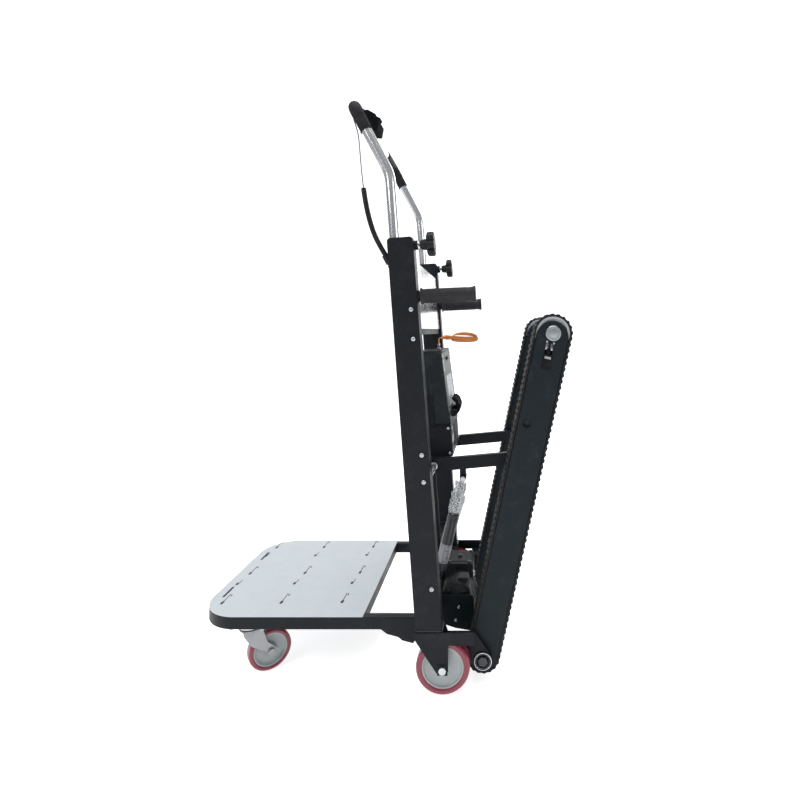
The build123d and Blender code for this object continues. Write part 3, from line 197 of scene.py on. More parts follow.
CAD_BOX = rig.bounds()
MM = 0.001
SIDES = ((-1, "left"), (1, "right"))
BOTH = (-1, 1)
rng = random.Random(7)


# ---------------------------------------------------------------- the frame's own directions
def direction(degrees_from_z):
    """Unit vector in the XZ plane, tilted from +Z towards +X."""
    angle = math.radians(degrees_from_z)
    return Vector((math.sin(angle), 0, math.cos(angle)))


UP, OUT, SIDE = Vector((0, 0, 1)), Vector((1, 0, 0)), Vector((0, 1, 0))
NEAR = -SIDE
MAST_LEAN, TRACK_LEAN, GRIP_LEAN = 4.2, 12.26, 2.6      # degrees
MAST_UP, MAST_OUT = direction(-MAST_LEAN), direction(90 - MAST_LEAN)
TRACK_UP, TRACK_OUT = direction(TRACK_LEAN), direction(90 + TRACK_LEAN)
GRIP_DIR = direction(90 - GRIP_LEAN)
MAST_FOOT = Vector((111.4, 0, 147)) * MM
MAST_Y, MAST_INNER_Y, MAST_OUTER_Y = 242, 223, 261
AXLE_X, AXLE_Z = 235, 57
AXLE = Vector((AXLE_X, 0, AXLE_Z)) * MM


def at(x, y, z):
    """Point given in mm."""
    return Vector((x, y, z)) * MM


def mast(t, h, y=0):
    """Point in the mast's plane, in mm: t square to the mast, h along it."""
    return MAST_FOOT + (MAST_OUT * t + MAST_UP * h + Vector((0, y, 0))) * MM


def track(t, h, y):
    """Point in the track's plane, in mm from the drive axle."""
    return AXLE + (TRACK_OUT * t + TRACK_UP * h + Vector((0, y, 0))) * MM


# ---------------------------------------------------------------- materials
class Shader:
    """A procedural material: one Principled shader and the nodes that feed it."""

    def __init__(self, name, color, rough, metal=0.0, spec=0.5):
        self.mat = bpy.data.materials.new(name)
        self.mat.use_nodes = True
        self.tree = self.mat.node_tree
        self.bsdf = self.tree.nodes["Principled BSDF"]
        self.color = tuple(color) + (1,)
        self.set("Base Color", self.color)
        self.set("Roughness", rough)
        self.set("Metallic", metal)
        self.set("Specular IOR Level", spec)
        self.where = self.add("ShaderNodeTexCoord", {}).outputs["Object"]
        self.normal = None

    def set(self, socket, value):
        self.bsdf.inputs[socket].default_value = value
        return self

    def add(self, kind, inputs, **props):
        """New node; an input is another node's socket or a plain value."""
        node = self.tree.nodes.new(kind)
        for key, value in props.items():
            setattr(node, key, value)
        for key, value in inputs.items():
            if isinstance(value, bpy.types.NodeSocket):
                self.tree.links.new(value, node.inputs[key])
            else:
                node.inputs[key].default_value = value
        return node

    def stretch(self, scale):
        """Object coordinates scaled per axis."""
        return self.add("ShaderNodeMapping", {"Vector": self.where, "Scale": scale}).outputs[0]

    def noise(self, scale, detail=3.0, rough=0.5, where=None):
        return self.add("ShaderNodeTexNoise", {"Vector": where or self.where, "Scale": scale,
                                               "Detail": detail,
                                               "Roughness": rough}).outputs["Fac"]

    def range(self, value, low, high, to_low=0.0, to_high=1.0):
        return self.add("ShaderNodeMapRange", {"Value": value, "From Min": low, "From Max": high,
                                               "To Min": to_low, "To Max": to_high}).outputs[0]

    def math(self, operation, a, b):
        return self.add("ShaderNodeMath", {0: a, 1: b}, operation=operation).outputs[0]

    def tint(self, fac, color):
        """Blend another colour over what the base colour is so far."""
        socket = self.bsdf.inputs["Base Color"]
        below = socket.links[0].from_socket if socket.links else self.color
        mix = self.add("ShaderNodeMix", {"Factor": fac, 6: below, 7: tuple(color) + (1,)},
                       data_type="RGBA")
        self.tree.links.new(mix.outputs[2], socket)
        return self

    def vary_rough(self, fac, low, high):
        """Roughness between low and high, following a noise."""
        self.tree.links.new(self.range(fac, 0.3, 0.7, low, high), self.bsdf.inputs["Roughness"])
        return self

    def bump(self, height, strength, distance):
        """Add relief on top of the relief so far; distance in metres."""
        inputs = {"Height": height, "Strength": strength, "Distance": distance}
        if self.normal:
            inputs["Normal"] = self.normal
        self.normal = self.add("ShaderNodeBump", inputs).outputs[0]
        self.tree.links.new(self.normal, self.bsdf.inputs["Normal"])
        return self


def painted(name, color, rough, dust=0.06):
    """Powder-coated steel: orange peel, faint smudges, dust that gathers in patches."""
    s = Shader(name, color, rough, spec=0.14)
    smudge = s.noise(9, 5, 0.62)
    s.vary_rough(smudge, rough - 0.06, rough + 0.12)
    s.tint(s.range(s.noise(24, 6, 0.7), 0.52, 0.8, 0, dust), (0.16, 0.155, 0.15))
    s.tint(s.range(s.noise(420, 2), 0.66, 0.74, 0, dust * 1.6), (0.2, 0.2, 0.2))
    s.bump(s.noise(900, 2), 0.12, 0.0003)
    s.bump(s.noise(60, 3), 0.05, 0.0006)
    return s


def brushed(name, color, rough, along, metal=1.0, marks=0.25):
    """Bare metal: fine drawn lines along one axis and cloudy roughness."""
    s = Shader(name, color, rough, metal=metal)
    lines = s.noise(1, 4, 0.6, s.stretch(along))
    s.vary_rough(s.math("ADD", s.math("MULTIPLY", lines, 0.6),
                        s.math("MULTIPLY", s.noise(14, 4), 0.4)), rough * 0.75, rough * 1.35)
    s.tint(s.range(s.noise(30, 5, 0.65), 0.45, 0.75, 0, marks), tuple(c * 0.55 for c in color))
    s.bump(lines, 0.06, 0.0002)
    return s


def moulded(name, color, rough, grain=1400, depth=0.15, spec=0.16):
    """Moulded plastic or rubber with a fine grain."""
    s = Shader(name, color, rough, spec=spec)
    s.vary_rough(s.noise(12, 4), rough - 0.07, rough + 0.1)
    s.tint(s.range(s.noise(35, 5, 0.7), 0.5, 0.8, 0, 0.18), tuple(0.1 + 0.8 * c for c in color))
    s.bump(s.noise(grain, 2), depth, 0.0003)
    return s


BLACK = painted("black_paint", (0.009, 0.0105, 0.0135), 0.42)
TRACK_BLACK = painted("track_paint", (0.0085, 0.0135, 0.017), 0.46, dust=0.08)
STEEL = brushed("turned_steel", (0.56, 0.58, 0.6), 0.28, (500, 500, 500))
ZINC = brushed("zinc", (0.52, 0.54, 0.57), 0.34, (90, 90, 700), marks=0.4)
PULLEY = brushed("turned_pulley", (0.74, 0.76, 0.78), 0.3, (500, 500, 500), metal=0.75)
CHROME = brushed("chrome", (0.72, 0.72, 0.73), 0.17, (60, 60, 20), metal=0.84, marks=0.1)
STAINLESS = brushed("stainless_film", (0.47, 0.51, 0.54), 0.34, (900, 12, 12), metal=0.3, marks=0.1)
PANEL = brushed("bright_panel", (0.82, 0.83, 0.85), 0.2, (20, 900, 20))
RED = moulded("red_polyurethane", (0.2, 0.021, 0.04), 0.3, 500, 0.05, 0.4)
RED.set("Coat Weight", 0.35).set("Coat Roughness", 0.1)
HUB = moulded("hub_grey", (0.32, 0.345, 0.35), 0.36, spec=0.5)
BELT = moulded("belt_rubber", (0.013, 0.013, 0.014), 0.62, 900, 0.3)
GRIP = moulded("grip_rubber", (0.022, 0.021, 0.024), 0.55, 700, 0.25)
FOAM = moulded("grip_foam", (0.012, 0.012, 0.014), 0.72, 2200, 0.5)
PLASTIC = moulded("black_plastic", (0.012, 0.0125, 0.014), 0.45)
CASE = moulded("battery_plastic", (0.014, 0.018, 0.02), 0.5)
CASE_GREY = moulded("battery_grey", (0.13, 0.14, 0.132), 0.5)
CAST = moulded("gearbox_cast", (0.022, 0.023, 0.025), 0.5, 260, 0.5)
MOTOR = moulded("motor_paint", (0.018, 0.019, 0.021), 0.38, 400, 0.2)
SPRING = moulded("spring_paint", (0.03, 0.032, 0.036), 0.34, 800, 0.05, 0.4)
ORANGE = moulded("orange_webbing", (0.72, 0.2, 0.035), 0.6)
CABLE = moulded("cable_black", (0.012, 0.012, 0.013), 0.4)
WIRE = moulded("wire_grey", (0.17, 0.175, 0.18), 0.4)
CELL = moulded("cell_wrap", (0.05, 0.15, 0.4), 0.3)
BOARD = moulded("circuit_board", (0.02, 0.16, 0.06), 0.4)
MATT = moulded("matt_black", (0.008, 0.0085, 0.0095), 0.85, 900, 0.2, 0.02)
DARK_SCREW = moulded("dark_screw", (0.004, 0.004, 0.005), 0.6)
# zinc darkened for the caster forks: painted shade, a shaded copy of the zinc on the caster plates
SHADED_FORK_ZINC = brushed("fork_zinc", (0.3, 0.31, 0.32), 0.42, (90, 90, 700), marks=0.5, metal=0.9)
LABEL = moulded("label_film", (0.5, 0.55, 0.57), 0.38, 300, 0.04)
LABEL.tint(LABEL.range(LABEL.noise(1, 0, 0.5, LABEL.stretch((1, 40, 260))), 0.56, 0.6, 0, 0.5),
           (0.1, 0.11, 0.12))
SPRING_LABEL = brushed("spring_label", (0.26, 0.265, 0.3), 0.4, (30, 30, 30), metal=0.3)
SPRING_LABEL.tint(SPRING_LABEL.range(SPRING_LABEL.noise(170, 2), 0.57, 0.62, 0, 0.6),
                  (0.06, 0.06, 0.07))
FILM = moulded("clear_film", (0.66, 0.68, 0.7), 0.12, 75, 1.0, 1.0)
FILM.set("Alpha", 0.4).set("Metallic", 0.55)
FILM.bump(FILM.noise(190, 4, 0.6), 1.0, 0.004)
PRINT = moulded("film_print", (0.035, 0.04, 0.06), 0.5)
WELD = brushed("painted_weld", (0.03, 0.031, 0.034), 0.3, (300, 300, 300), metal=0.35)
DARK_STEEL = brushed("dark_steel", (0.05, 0.052, 0.056), 0.4, (200, 200, 200), metal=0.6)
WEBBING = moulded("webbing", (0.72, 0.26, 0.085), 0.7, 900, 0.3)
WEBBING.bump(WEBBING.add("ShaderNodeTexWave", {"Vector": WEBBING.where, "Scale": 420.0,
                                               "Distortion": 1.5}).outputs["Fac"], 0.5, 0.0004)

SLOT_LOOKS = {"black_paint": BLACK, "track_paint": TRACK_BLACK, "stainless": STAINLESS,
              "bright_panel": PANEL, "zinc": ZINC, "axle_steel": STEEL, "gear_steel": STEEL,
              "pulley": PULLEY, "red_polyurethane": RED, "hub_grey": HUB, "belt_rubber": BELT,
              "gearbox_cast": CAST, "motor_paint": MOTOR, "spring_paint": SPRING,
              "chrome": CHROME, "black_plastic": PLASTIC, "gloss_black": PLASTIC,
              "grip_rubber": GRIP, "grip_foam": FOAM, "battery_plastic": CASE,
              "battery_grey": CASE_GREY, "cell_wrap": CELL, "circuit_board": BOARD,
              "orange_webbing": ORANGE, "cable_black": CABLE, "cable_grey": WIRE}
NODE_LOOKS = {"control_pod": MATT, "battery_bail": MATT, "drive_rocker": MATT,
              "pivot_bearings": DARK_STEEL, "drive_axle": DARK_STEEL, "axle_gear": DARK_STEEL,
              "output_pinion": DARK_STEEL}

for node_name, node in frame["nodes"].items():
    slot = node.data.materials[0].name.split(".")[0] if node.data.materials else "black_paint"
    look = NODE_LOOKS.get(node_name) or SLOT_LOOKS.get(slot, BLACK)
    node.data.materials.clear()
    node.data.materials.append(look.mat)

# ---------------------------------------------------------------- camera, light, floor
camera_data = bpy.data.cameras.new("camera")
camera_data.lens = 23.49
camera_data.sensor_width = 36
camera_data.shift_x = -0.119
camera_data.shift_y = -0.0875
camera = bpy.data.objects.new("camera", camera_data)
camera.location = (0.264, -1.456, 0.838)
camera.rotation_euler = (math.radians(90), 0, 0)
bpy.context.scene.collection.objects.link(camera)
bpy.context.scene.camera = camera


def light(name, location, target, size, power):
    """White round area lamp, aimed at a target; metres and watts."""
    data = bpy.data.lights.new(name, "AREA")
    data.shape, data.size, data.energy = "DISK", size, power
    lamp = bpy.data.objects.new(name, data)
    lamp.location = location
    lamp.rotation_euler = (Vector(target) - Vector(location)).to_track_quat("-Z", "Y").to_euler()
    bpy.context.scene.collection.objects.link(lamp)


light("sky_panel", (0.0, -0.4, 3.6), (0, 0, 0.3), 3.2, 88)
light("key", (-2.2, -2.6, 2.6), (0, 0, 0.6), 1.6, 42)
light("fill", (3.2, -1.6, 1.8), (0.2, 0, 0.6), 1.8, 22)
light("back", (1.6, 3.0, 2.4), (0, 0, 0.6), 2.2, 45)

world = bpy.data.worlds.new("studio")
world.use_nodes = True
world.node_tree.nodes["Background"].inputs["Color"].default_value = (0.9, 0.95, 1, 1)
world.node_tree.nodes["Background"].inputs["Strength"].default_value = 0.24
bpy.context.scene.world = world
bpy.context.scene.view_settings.view_transform = "Standard"

floor_mesh = bpy.data.meshes.new("floor")
bm = bmesh.new()
RUN, RISE_AT, BACK_R, WALL_TOP, HALF_WIDTH = 9.0, 6.0, 2.5, 9.0, 12
profile = [(-RUN, 0.0), (RISE_AT - BACK_R, 0.0)]
profile += [(RISE_AT - BACK_R + BACK_R * math.sin(a), BACK_R - BACK_R * math.cos(a))
            for a in [math.radians(10 * i) for i in range(1, 10)]] + [(RISE_AT, WALL_TOP)]
rows = [[bm.verts.new((x, y, z)) for x in (-HALF_WIDTH, HALF_WIDTH)] for y, z in profile]
for low, high in zip(rows, rows[1:]):
    bm.faces.new((low[0], low[1], high[1], high[0])).smooth = True
bm.to_mesh(floor_mesh)
bm.free()
floor = bpy.data.objects.new("floor", floor_mesh)
bpy.context.scene.collection.objects.link(floor)
backdrop = Shader("backdrop", (0.88, 0.88, 0.88), 0.85, spec=0.1)
backdrop.set("Emission Color", (1, 1, 1, 1)).set("Emission Strength", 0.72)
floor_mesh.materials.append(backdrop.mat)
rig.stage(floor)

# ---------------------------------------------------------------- cords
CONDUIT = [(9, -242, 1012), (-13, -243, 1048), (-28, -246, 1094), (-38, -245, 1141),
           (-42, -242, 1167)]
CONTROL_WIRE = [(-42, -242, 1167), (-45, -241.5, 1190), (-47.5, -242.5, 1216),
                (-49.5, -243.5, 1243), (-51.5, -243.5, 1270), (-55, -243, 1298),
                (-64.9, -242, 1327.3)]


def cable(name, route, radius, look, node):
    """Round cable along a NURBS spline through the route's control points."""
    data = bpy.data.curves.new(name, "CURVE")
    data.dimensions = "3D"
    data.bevel_depth = radius * MM
    data.bevel_resolution = 5
    data.use_fill_caps = True
    spline = data.splines.new("NURBS")
    spline.points.add(len(route) - 1)
    for point, place in zip(spline.points, route):
        point.co = (*at(*place), 1)
    spline.order_u = 3
    spline.use_endpoint_u = True
    spline.resolution_u = 12
    data.materials.append(look.mat)
    piece = bpy.data.objects.new(name, data)
    bpy.context.scene.collection.objects.link(piece)
    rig.ride(piece, "frame")
    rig.replaces(piece, node)
    return piece


conduit = cable("control_cable_conduit", CONDUIT, 6, CABLE, "control_conduit")
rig.slot(conduit, "cable_black")
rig.cord(conduit, exit=at(*CONDUIT[0]), length=0.165, diameter=0.012, far_end="object",
        stiffness="stiff", lay="hanging")

# ---------------------------------------------------------------- mesh helpers
def square_axes(axis):
    """Two unit vectors square to an axis and to each other."""
    axis = axis.normalized()
    first = Vector((0, 1, 0)) if abs(axis.y) < 0.9 else Vector((1, 0, 0))
    first = (first - axis * first.dot(axis)).normalized()
    return first, axis.cross(first)


def loft(bm, rings, closed=False):
    """Skin over rings of points, all with the same count; capped if it isn't closed."""
    made = [[bm.verts.new(p) for p in ring] for ring in rings]
    count = len(made[0])
    pairs = list(zip(made, made[1:])) + ([(made[-1], made[0])] if closed else [])
    for a, b in pairs:
        for i in range(count):
            j = (i + 1) % count
            bm.faces.new((a[i], a[j], b[j], b[i]))
    if not closed:
        bm.faces.new(made[0][::-1])
        bm.faces.new(made[-1])


def lathe(bm, base, axis, profile, sides, closed=False):
    """Turned shape: profile of (radius, distance along the axis) in mm from base."""
    u, v = square_axes(axis)
    axis = axis.normalized()
    rings = []
    for radius, along in profile:
        centre = base + axis * along * MM
        rings.append([centre + (u * math.cos(a) + v * math.sin(a)) * radius * MM
                      for a in [2 * math.pi * i / sides for i in range(sides)]])
    loft(bm, rings, closed=closed)


def prism(bm, outline, depth):
    """Flat outline, a list of points, pushed along a vector."""
    loft(bm, [outline, [p + depth for p in outline]])


def block(bm, centre, axes, size):
    """Box with its own axes; size in mm."""
    a, b, c = (axis.normalized() * half * MM / 2 for axis, half in zip(axes, size))
    prism(bm, [centre - a - b - c, centre + a - b - c, centre + a + b - c, centre - a + b - c],
          2 * c)


def tube(bm, points, radius, sides, wobble=None):
    """Round tube through points in metres; wobble(i) scales the radius (mm) at point i."""
    rings = []
    frame_u = None
    for i, point in enumerate(points):
        ahead = points[min(i + 1, len(points) - 1)] - points[max(i - 1, 0)]
        if frame_u is None:
            frame_u = square_axes(ahead)[0]
        ahead = ahead.normalized()
        frame_u = (frame_u - ahead * frame_u.dot(ahead)).normalized()
        frame_v = ahead.cross(frame_u)
        r = radius * MM * (wobble(i) if wobble else 1)
        rings.append([point + (frame_u * math.cos(a) + frame_v * math.sin(a)) * r
                      for a in [2 * math.pi * k / sides for k in range(sides)]])
    loft(bm, rings)


def arc(centre, u, v, radius, start, end, steps):
    """Points on an arc, radius in mm, angles in degrees."""
    return [centre + (u * math.cos(math.radians(a)) + v * math.sin(math.radians(a))) * radius * MM
            for a in [start + (end - start) * i / steps for i in range(steps + 1)]]


CORNER_STEPS = 5


def rounded(width, height, corner, u, v, centre):
    """Rounded rectangle outline in the plane of u and v."""
    w, h = width / 2 - corner, height / 2 - corner
    outline = []
    for quarter, (sx, sy) in enumerate(((1, 1), (-1, 1), (-1, -1), (1, -1))):
        corner_at = centre + (u * sx * w + v * sy * h) * MM
        outline += arc(corner_at, u, v, corner, 90 * quarter, 90 * quarter + 90, CORNER_STEPS)
    return outline


WELD_STEP = 0.9
WELD_THIN, WELD_WIDE, WELD_SMALL = 2.2, 2.6, 1.6        # bead radii


def weld(bm, start, end, radius):
    """Weld bead: a lumpy ridge of overlapping ripples between two points."""
    length = (end - start).length / MM
    count = max(3, int(length / WELD_STEP))
    side, other = square_axes(end - start)
    points, scales = [], []
    for i in range(count + 1):
        f = i / count
        drift = noise.noise(start * 40 + Vector((f * length * 0.25, 3, 1))) * 0.7 * MM
        points.append(start.lerp(end, f) + side * drift + other * drift * 0.6)
        ends = min(1.0, 0.35 + 1.9 * math.sin(math.pi * f))
        ripple = 0.84 + 0.16 * abs(math.sin(math.pi * i * WELD_STEP / (radius * 0.85)))
        lump = 1 + 0.22 * noise.noise(start * 70 + Vector((i * 0.31, 0, 7)))
        scales.append(ends * ripple * lump)
    tube(bm, points, radius, sides=10, wobble=lambda i: scales[i])


def weld_path(bm, corners, radius):
    """Weld beads from corner to corner."""
    for a, b in zip(corners, corners[1:]):
        weld(bm, a, b, radius)


def hex_bolt(bm, base, axis, radius, height, washer=0.0):
    """Hexagon head with chamfered corners, radius over them in mm; washer is its radius."""
    if washer:
        lathe(bm, base, axis, [(washer, -0.2), (washer, 0.9), (washer - 0.5, 1.3), (2, 1.3)], 32)
    low = 1.2 if washer else -0.2
    u, v = square_axes(axis)
    n = axis.normalized()
    rings = []
    for along, corner in ((low, 0.985), (height * 0.8, 0.985), (height, 0.9)):
        ring = []
        for i in range(24):
            a = 2 * math.pi * i / 24
            hexagon = radius * math.cos(math.pi / 6) / math.cos((a % (math.pi / 3)) - math.pi / 6)
            r = min(hexagon, radius * corner)
            ring.append(base + n * along * MM + (u * math.cos(a) + v * math.sin(a)) * r * MM)
        rings.append(ring)
    rings.append([base + n * (height + 0.3) * MM + (p - base - n * height * MM) * 0.6
                  for p in rings[-1]])
    loft(bm, rings)


def socket_screw(bm, base, axis, radius, height):
    """Domed screw head with a hexagon socket."""
    dome = [(radius, -0.3), (radius, height * 0.25)]
    dome += [(radius * math.cos(a), height * (0.25 + 0.75 * math.sin(a)))
             for a in [math.radians(x) for x in (20, 40, 58)]]
    dome += [(radius * 0.44, height * 0.93), (radius * 0.4, height * 0.3)]
    lathe(bm, base, axis, dome, 24)


def piece(name, bm, look, body="frame", replaces=(), slot=None, bevel=0.0, sharp=38,
          segments=2):
    """Turn a bmesh into a finished piece that rides on a CAD body, or on none if it is None."""
    bmesh.ops.remove_doubles(bm, verts=bm.verts, dist=1e-6)
    bmesh.ops.recalc_face_normals(bm, faces=bm.faces)
    mesh = bpy.data.meshes.new(name)
    bm.to_mesh(mesh)
    bm.free()
    mesh.materials.append(look.mat)
    made = bpy.data.objects.new(name, mesh)
    bpy.context.scene.collection.objects.link(made)
    mesh.shade_smooth()
    if bevel:
        soften(made, bevel, segments, sharp)
    else:
        mesh.set_sharp_from_angle(angle=math.radians(sharp))
    if body:
        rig.ride(made, body)
    if replaces:
        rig.replaces(made, *replaces)
    if slot:
        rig.slot(made, slot)
    return made


def soften(made, width, segments=2, sharp=35):
    """Small rounded edges, as on formed and moulded parts."""
    mod = made.modifiers.new("edges", "BEVEL")
    mod.width = width * MM
    mod.segments = segments
    mod.limit_method = "ANGLE"
    mod.angle_limit = math.radians(sharp)
    mod.harden_normals = True
    mod.miter_outer = "MITER_ARC"


# ---------------------------------------------------------------- CAD nodes that stay: edges
EDGE_WIDTH = {"platform_frame": 1.6, "platform_plate": 0.5, "left_mast": 2.0, "right_mast": 2.0,
              "mast_cross_tubes": 1.2, "rear_panel": 0.8, "left_base_rail": 1.0,
              "right_base_rail": 1.0, "motor_gearbox": 3.0, "drive_motor": 1.0,
              "motor_guard": 0.7, "controller_box": 2.0, "battery_case": 2.0,
              "battery_cradle": 0.6, "link_arms": 1.6, "left_track_frame": 0.8,
              "right_track_frame": 0.8, "battery_bail": 1.0, "control_pod": 1.4,
              "drive_rocker": 1.0, "guide_bushes": 0.5, "pivot_bearings": 0.6,
              "drive_axle": 0.4, "track_hardware": 0.4, "arm_shoes": 0.6}
for node_name, width in EDGE_WIDTH.items():
    node = frame["nodes"][node_name]
    if "custom_normal" in node.data.attributes:
        node.data.attributes.remove(node.data.attributes["custom_normal"])
    node.data.shade_smooth()
    node.modifiers.new("weld", "WELD").merge_threshold = 1e-5
    flat = node.modifiers.new("flat", "DECIMATE")
    flat.decimate_type = "DISSOLVE"
    flat.angle_limit = math.radians(0.6)
    soften(node, width)

# ---------------------------------------------------------------- crawler belts
LOW_R, UP_R, TRACK_LENGTH, BELT_THICK = 40.8, 47.7, 791, 7
TOOTH, TOOTH_PITCH = 2.4, 15.0
TRACK_IN, TRACK_OUT_Y = 150.5, 209.5


def belt_line(step):
    """Points, outward normals and distances along the belt's outer line, in the track's plane."""
    slope = math.asin((UP_R - LOW_R) / TRACK_LENGTH)
    run = math.sqrt(TRACK_LENGTH ** 2 - (UP_R - LOW_R) ** 2)
    parts = [("run", 1, run), ("arc", 1, UP_R * (math.pi + 2 * slope)), ("run", -1, run),
             ("arc", -1, LOW_R * (math.pi - 2 * slope))]
    total = sum(length for _, _, length in parts)
    count = int(round(total / step))
    for i in range(count):
        s = i * total / count
        for kind, sign, length in parts:
            if s < length:
                break
            s -= length
        if kind == "run":
            normal = (sign * math.cos(slope), -math.sin(slope))
            f = s / run if sign > 0 else 1 - s / run
            radius, height = LOW_R + (UP_R - LOW_R) * f, TRACK_LENGTH * f
            point = (normal[0] * radius, height + normal[1] * radius)
        else:
            radius = UP_R if sign > 0 else LOW_R
            angle = s / radius - slope if sign > 0 else math.pi + slope + s / radius
            normal = (math.cos(angle), math.sin(angle))
            height = TRACK_LENGTH if sign > 0 else 0
            point = (normal[0] * radius, height + normal[1] * radius)
        yield i, point, normal


SHAPE = (0.0, 0.0, 1.0, 1.0, 1.0, 0.0)          # height over one tooth and its gap
PITCH_STEPS = len(SHAPE)
# across the belt: mm from its inner edge and how much of a tooth stands there
COLUMNS = ((0, 0.2), (1.6, 1.0), (25.0, 1.0), (27.0, 0.15), (32.0, 0.15), (34.0, 1.0),
           (57.4, 1.0), (59, 0.2))
for sign, side_name in SIDES:
    bm = bmesh.new()
    rings = []
    for i, point, normal in belt_line(TOOTH_PITCH / PITCH_STEPS):
        outer, inner = [], []
        for y, height in COLUMNS:
            drop = TOOTH * (1 - SHAPE[i % PITCH_STEPS] * height)
            for row, depth in ((outer, drop), (inner, BELT_THICK)):
                row.append(track(point[0] - normal[0] * depth, point[1] - normal[1] * depth,
                                 sign * (TRACK_IN + y)))
        rings.append(outer + inner[::-1])
    loft(bm, rings, closed=True)
    piece(f"{side_name}_belt", bm, BELT, "tracks", [f"{side_name}_track_belt"], "belt_rubber",
          sharp=30)

# ---------------------------------------------------------------- track plates and adjusters
PLATE_END_H, SEAM_H, PLATE_HALF, PLATE_END_R, PLATE_THICK = 784, 704, 35.7, 36.8, 1.1
PLUG_T, PLUG_H = -15.5, 567
steel_bits = bmesh.new()
screw_bits = bmesh.new()
for sign, side_name in SIDES:
    y = sign * (TRACK_OUT_Y + 0.02)
    bm = bmesh.new()
    outline = [track(-PLATE_HALF, SEAM_H, y), track(PLATE_HALF, SEAM_H, y)]
    outline += arc(track(0, PLATE_END_H, y), TRACK_OUT, TRACK_UP, PLATE_END_R, 3, 177, 28)
    keyhole = [track(t, h, y) for t, h in ((-11, 739), (7, 739), (7.5, 765), (1.4, 767),
                                           (1.4, 777), (-5.2, 777), (-5.2, 767), (-11.5, 765))]
    for loop in (outline, keyhole):
        ring = [bm.verts.new(p) for p in loop]
        for a, b in zip(ring, ring[1:] + ring[:1]):
            bm.edges.new((a, b))
    bmesh.ops.triangle_fill(bm, edges=bm.edges[:], use_beauty=True)
    grown = bmesh.ops.extrude_face_region(bm, geom=bm.faces[:])
    bmesh.ops.translate(bm, verts=[g for g in grown["geom"] if isinstance(g, bmesh.types.BMVert)],
                        vec=Vector((0, sign * PLATE_THICK, 0)) * MM)
    piece(f"{side_name}_end_plate", bm, TRACK_BLACK, "tracks", slot="track_paint", bevel=0.4,
          sharp=60)
    out = SIDE * sign
    lathe(steel_bits, track(0, TRACK_LENGTH, sign * TRACK_IN), out, [(10, 0), (10, 60)], 40)
    top = track(0, TRACK_LENGTH, sign * (TRACK_OUT_Y + 1.0))
    lathe(steel_bits, top, out, [(18.2, 0), (18.2, 1.4), (17.4, 2.1), (12.8, 2.1), (12.5, 1.8),
                                 (4, 1.8)], 56)
    hex_bolt(steel_bits, track(0, TRACK_LENGTH, sign * (TRACK_OUT_Y + 2.6)), out, 11.2, 3.2)
    for t, h in ((-10.5, 768), (6.5, 768), (-9.5, 752), (4.5, 752)):
        lathe(steel_bits, track(t, h, sign * (TRACK_OUT_Y + 0.4)), out,
              [(2.6, 0), (2.6, 1.7), (1.8, 2.5)], 20)
    lathe(screw_bits, track(-2, 720, sign * (TRACK_OUT_Y - 2.0)), TRACK_UP,
          [(2.6 - 0.35 * (k % 2), k * 0.9) for k in range(66)], 14)
    for h in (742, 749):
        lathe(screw_bits, track(-2, h, sign * (TRACK_OUT_Y - 2.8)), TRACK_UP,
              [(2.3, 0), (6, 0.4), (6, 4.4), (2.3, 4.8)], 6)
    pad = track(-1, 721, sign * (TRACK_OUT_Y + PLATE_THICK))
    prism(screw_bits, rounded(25, 36, 3, TRACK_OUT, TRACK_UP, pad), out * 0.35 * MM)
    block(steel_bits, track(-1, 731, sign * (TRACK_OUT_Y + 1.6)), (TRACK_OUT, TRACK_UP, out),
          (15, 5.5, 1.6))
piece("track_adjuster_screws", screw_bits, DARK_SCREW, "tracks", slot="axle_steel", sharp=32)
piece("track_adjusters", steel_bits, STEEL, "tracks", ["track_hardware"], "axle_steel", sharp=32)


# ---------------------------------------------------------------- wheels
def wheel(prefix, centre, axis, body, tyre_r, hub_r, width, bore, nodes, boss_r):
    """Moulded tyre on a dished hub, with a bearing shield on each side; nodes: tyre, hub."""
    w = width / 2
    bm = bmesh.new()
    lathe(bm, centre, axis, [(hub_r, -w + 2.4), (hub_r + 1.6, -w + 0.5), (tyre_r - 5.2, -w),
                             (tyre_r - 2.2, -w + 1.3), (tyre_r - 0.6, -w + 4), (tyre_r, -w + 8),
                             (tyre_r, w - 8), (tyre_r - 0.6, w - 4), (tyre_r - 2.2, w - 1.3),
                             (tyre_r - 5.2, w), (hub_r + 1.6, w - 0.5), (hub_r, w - 2.4)],
          96, closed=True)
    piece(f"{prefix}_tyre_moulded", bm, RED, body, nodes[:1], "red_polyurethane", sharp=50)
    bm = bmesh.new()
    half = [(bore, w - 2.0), (boss_r - 1, w - 2.0), (boss_r, w - 2.8), (boss_r + 1.2, w - 7),
            (boss_r + 5, w - 9.5), (hub_r * 0.74, w - 9), (hub_r - 4.6, w - 6.5),
            (hub_r - 3.2, w - 2.9), (hub_r - 2.4, w - 2.3), (hub_r + 0.3, w - 2.3)]
    lathe(bm, centre, axis, [(r, -a) for r, a in half] + half[::-1], 96, closed=True)
    piece(f"{prefix}_hub_moulded", bm, HUB, body, nodes[1:], "hub_grey", sharp=50)
    bm = bmesh.new()
    for s in BOTH:
        face = centre + axis * s * (w - 2.05) * MM
        lathe(bm, face, axis * s, [(bore + 0.1, 0), (boss_r - 3.5, 0), (boss_r - 3.5, 0.5),
                                   (bore + 2.5, 0.9), (bore + 0.1, 0.5)], 48, closed=True)
    piece(f"{prefix}_bearing_shields", bm, ZINC, body, slot="zinc", sharp=30)


REAR_X, REAR_Y, REAR_R, REAR_BOLT_OUT = 143.5, 242.5, 62.5, 266
CASTER_X, CASTER_Y, CASTER_R, CASTER_TRAIL, CASTER_YAW = -330, 185, 50, 42, 38
TOP_PLATE_Y, TOP_PLATE_Z = 179, 126


